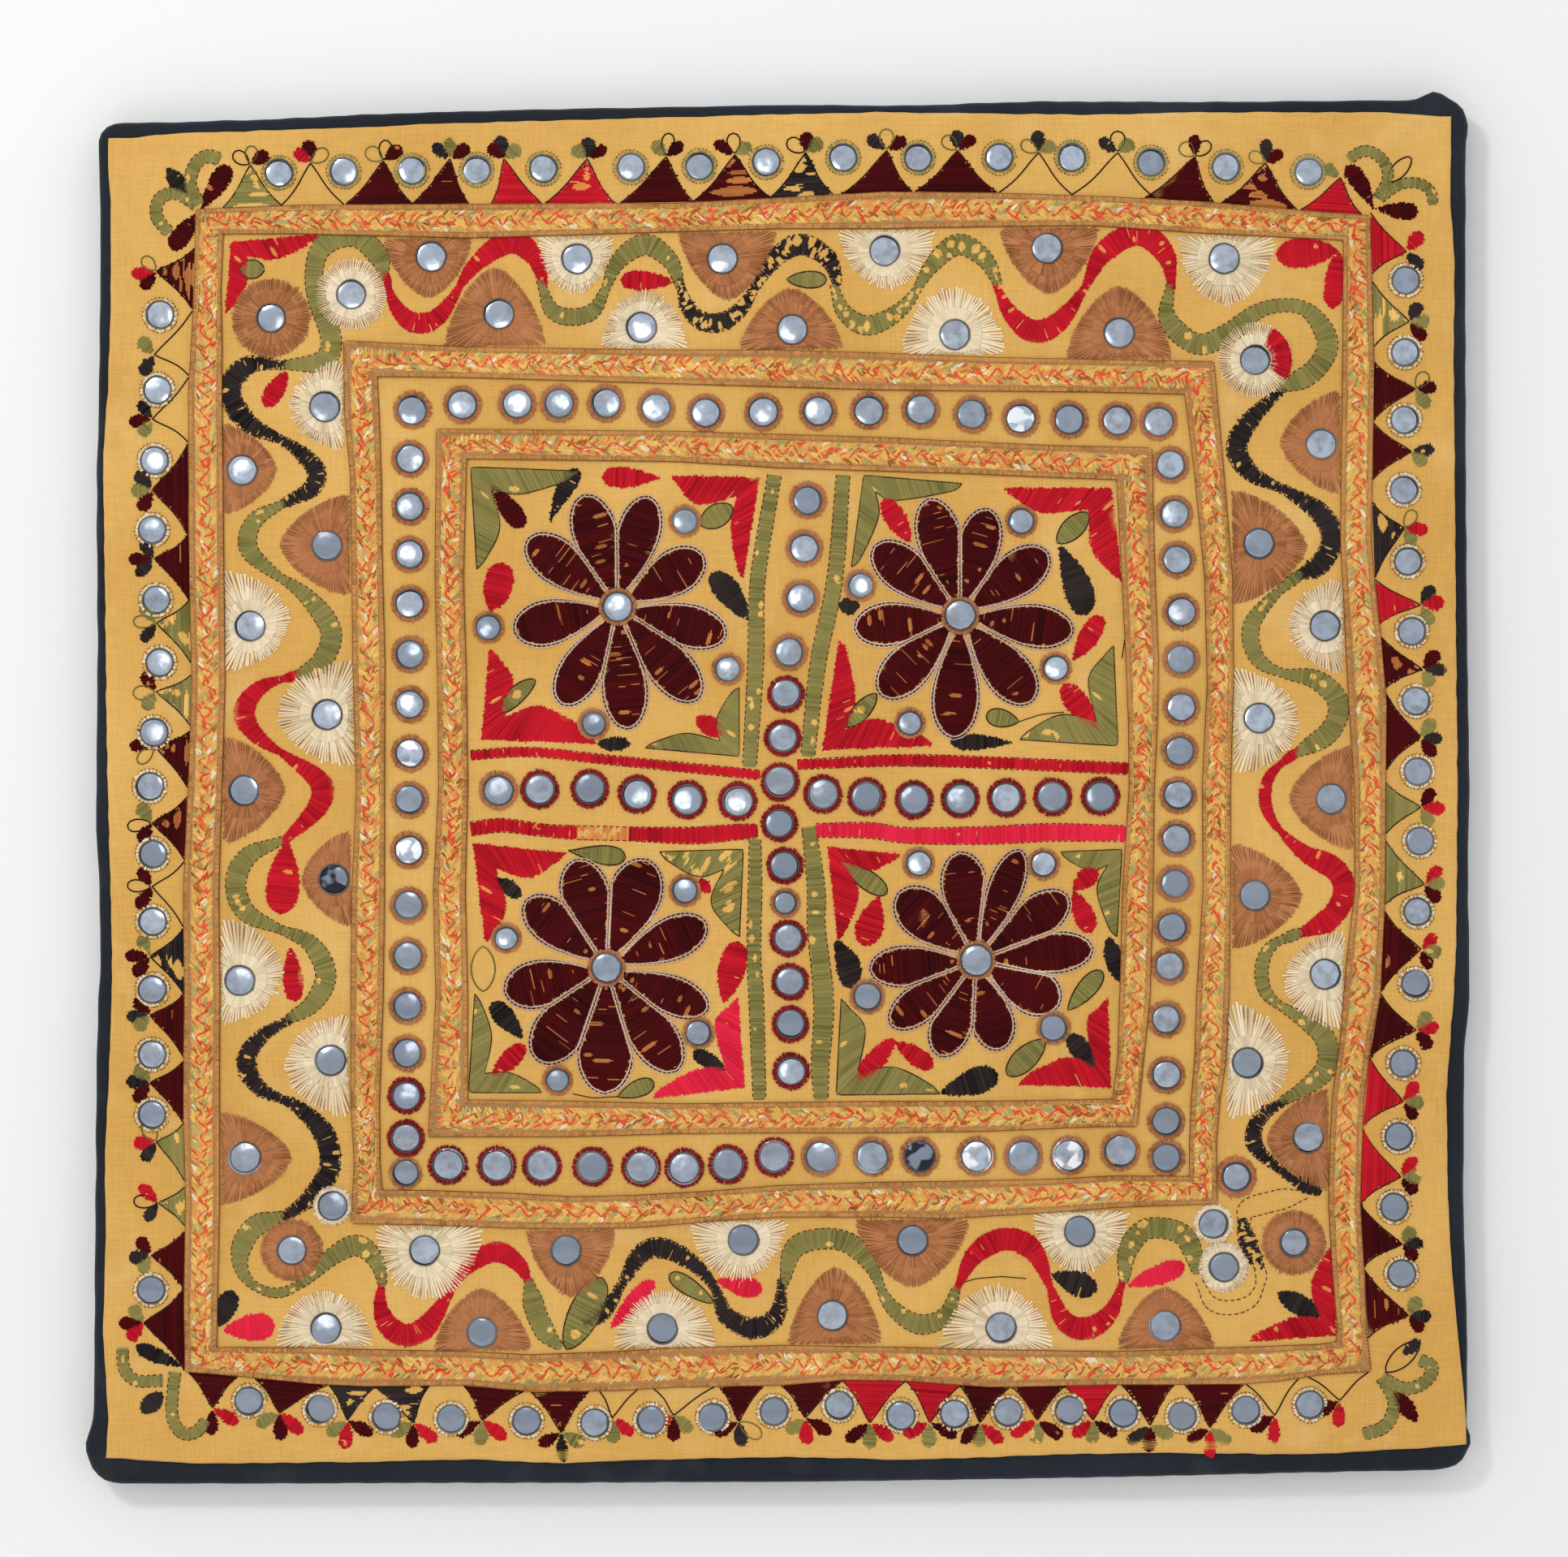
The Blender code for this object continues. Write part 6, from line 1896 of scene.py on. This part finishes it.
def build_stage():
    """A pale wall behind the hanging and a pale floor below it."""
    wall_finish = stage_material("Pale wall", WALL_COLOUR, True)
    floor_finish = stage_material("Pale floor", FLOOR_COLOUR, False)
    wall_corners = ((-4, FLOOR_LEVEL), (4, FLOOR_LEVEL), (4, 3), (-4, 3))
    floor_corners = ((-4, -5), (4, -5), (4, 4), (-4, 4))
    upright = [(x, WALL_PLACE, z) for x, z in wall_corners]
    level = [(x, y, FLOOR_LEVEL) for x, y in floor_corners]
    faces = [(0, 1, 2, 3)]
    wall = add_piece("Wall", upright, faces, wall_finish, False)
    floor = add_piece("Floor", level, faces, floor_finish, False)


def light_and_camera():
    """Soft studio light and the camera straight in front."""
    world = bpy.data.worlds.new("Pale room")
    bpy.context.scene.world = world
    world.use_nodes = True
    background = world.node_tree.nodes["Background"]
    background.inputs["Color"].default_value = ROOM_COLOUR
    background.inputs["Strength"].default_value = ROOM_LIGHT
    target = Vector((0.0, 0.0, -HANG_HEIGHT * MM))
    for name, place, size, power in LAMPS:
        lamp = bpy.data.lights.new(name, "AREA")
        lamp.shape = "DISK"
        lamp.size = size
        lamp.energy = power
        lamp.color = LAMP_COLOUR
        stand = linked(name, lamp)
        stand.location = place
        stand.rotation_euler = (target - stand.location).to_track_quat("-Z", "Y").to_euler()
    lens = bpy.data.cameras.new("Front camera")
    lens.lens = CAMERA_LENS
    lens.sensor_width = 36.0
    lens.clip_start = 0.05
    camera = linked("Front camera", lens)
    camera.location = CAMERA_PLACE
    camera.rotation_euler = (math.pi / 2, 0.0, 0.0)
    bpy.context.scene.camera = camera
    bpy.context.scene.view_settings.view_transform = "Standard"


def main():
    """Build every piece, dress it, and set up the stage, the light and the camera."""
    weave = weave_group()
    spun = spun_group()
    yellow = cotton("Yellow cotton", weave, *YELLOW_COTTON)
    dark = cotton("Dark cotton", weave, *DARK_COTTON)
    braid_finish = braid_material()
    pine = pine_material()
    finishes = {thread: thread_material(thread.capitalize() + "_stitches", spun, *colours)
                for thread, colours in THREAD_COLOURS.items()}
    panel = build_panel(yellow)
    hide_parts("embroidered_panel")
    ground = build_ground_cloth(dark)
    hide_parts("ground_cloth")
    braids = []
    for name, sides in BRAIDS.items():
        braid = build_braid(f"Woven_braid_{name}", sides, braid_finish)
        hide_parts(*(f"braid_{name}_{side}" for side in sides))
        braids.append(braid)
        edge_stitches(sides)
    embroider()
    copies = copies_tree()
    mirrors = hang_mirrors(copies, glass_material())
    threads = sew_all(copies, cord_tree(), finishes)
    for piece in [panel, ground] + braids + [mirrors] + threads:
        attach(piece, "root")
    for node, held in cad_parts.items():
        if node.startswith("bar_"):
            for slot in held.material_slots:
                slot.material = pine
    build_stage()
    light_and_camera()


main()
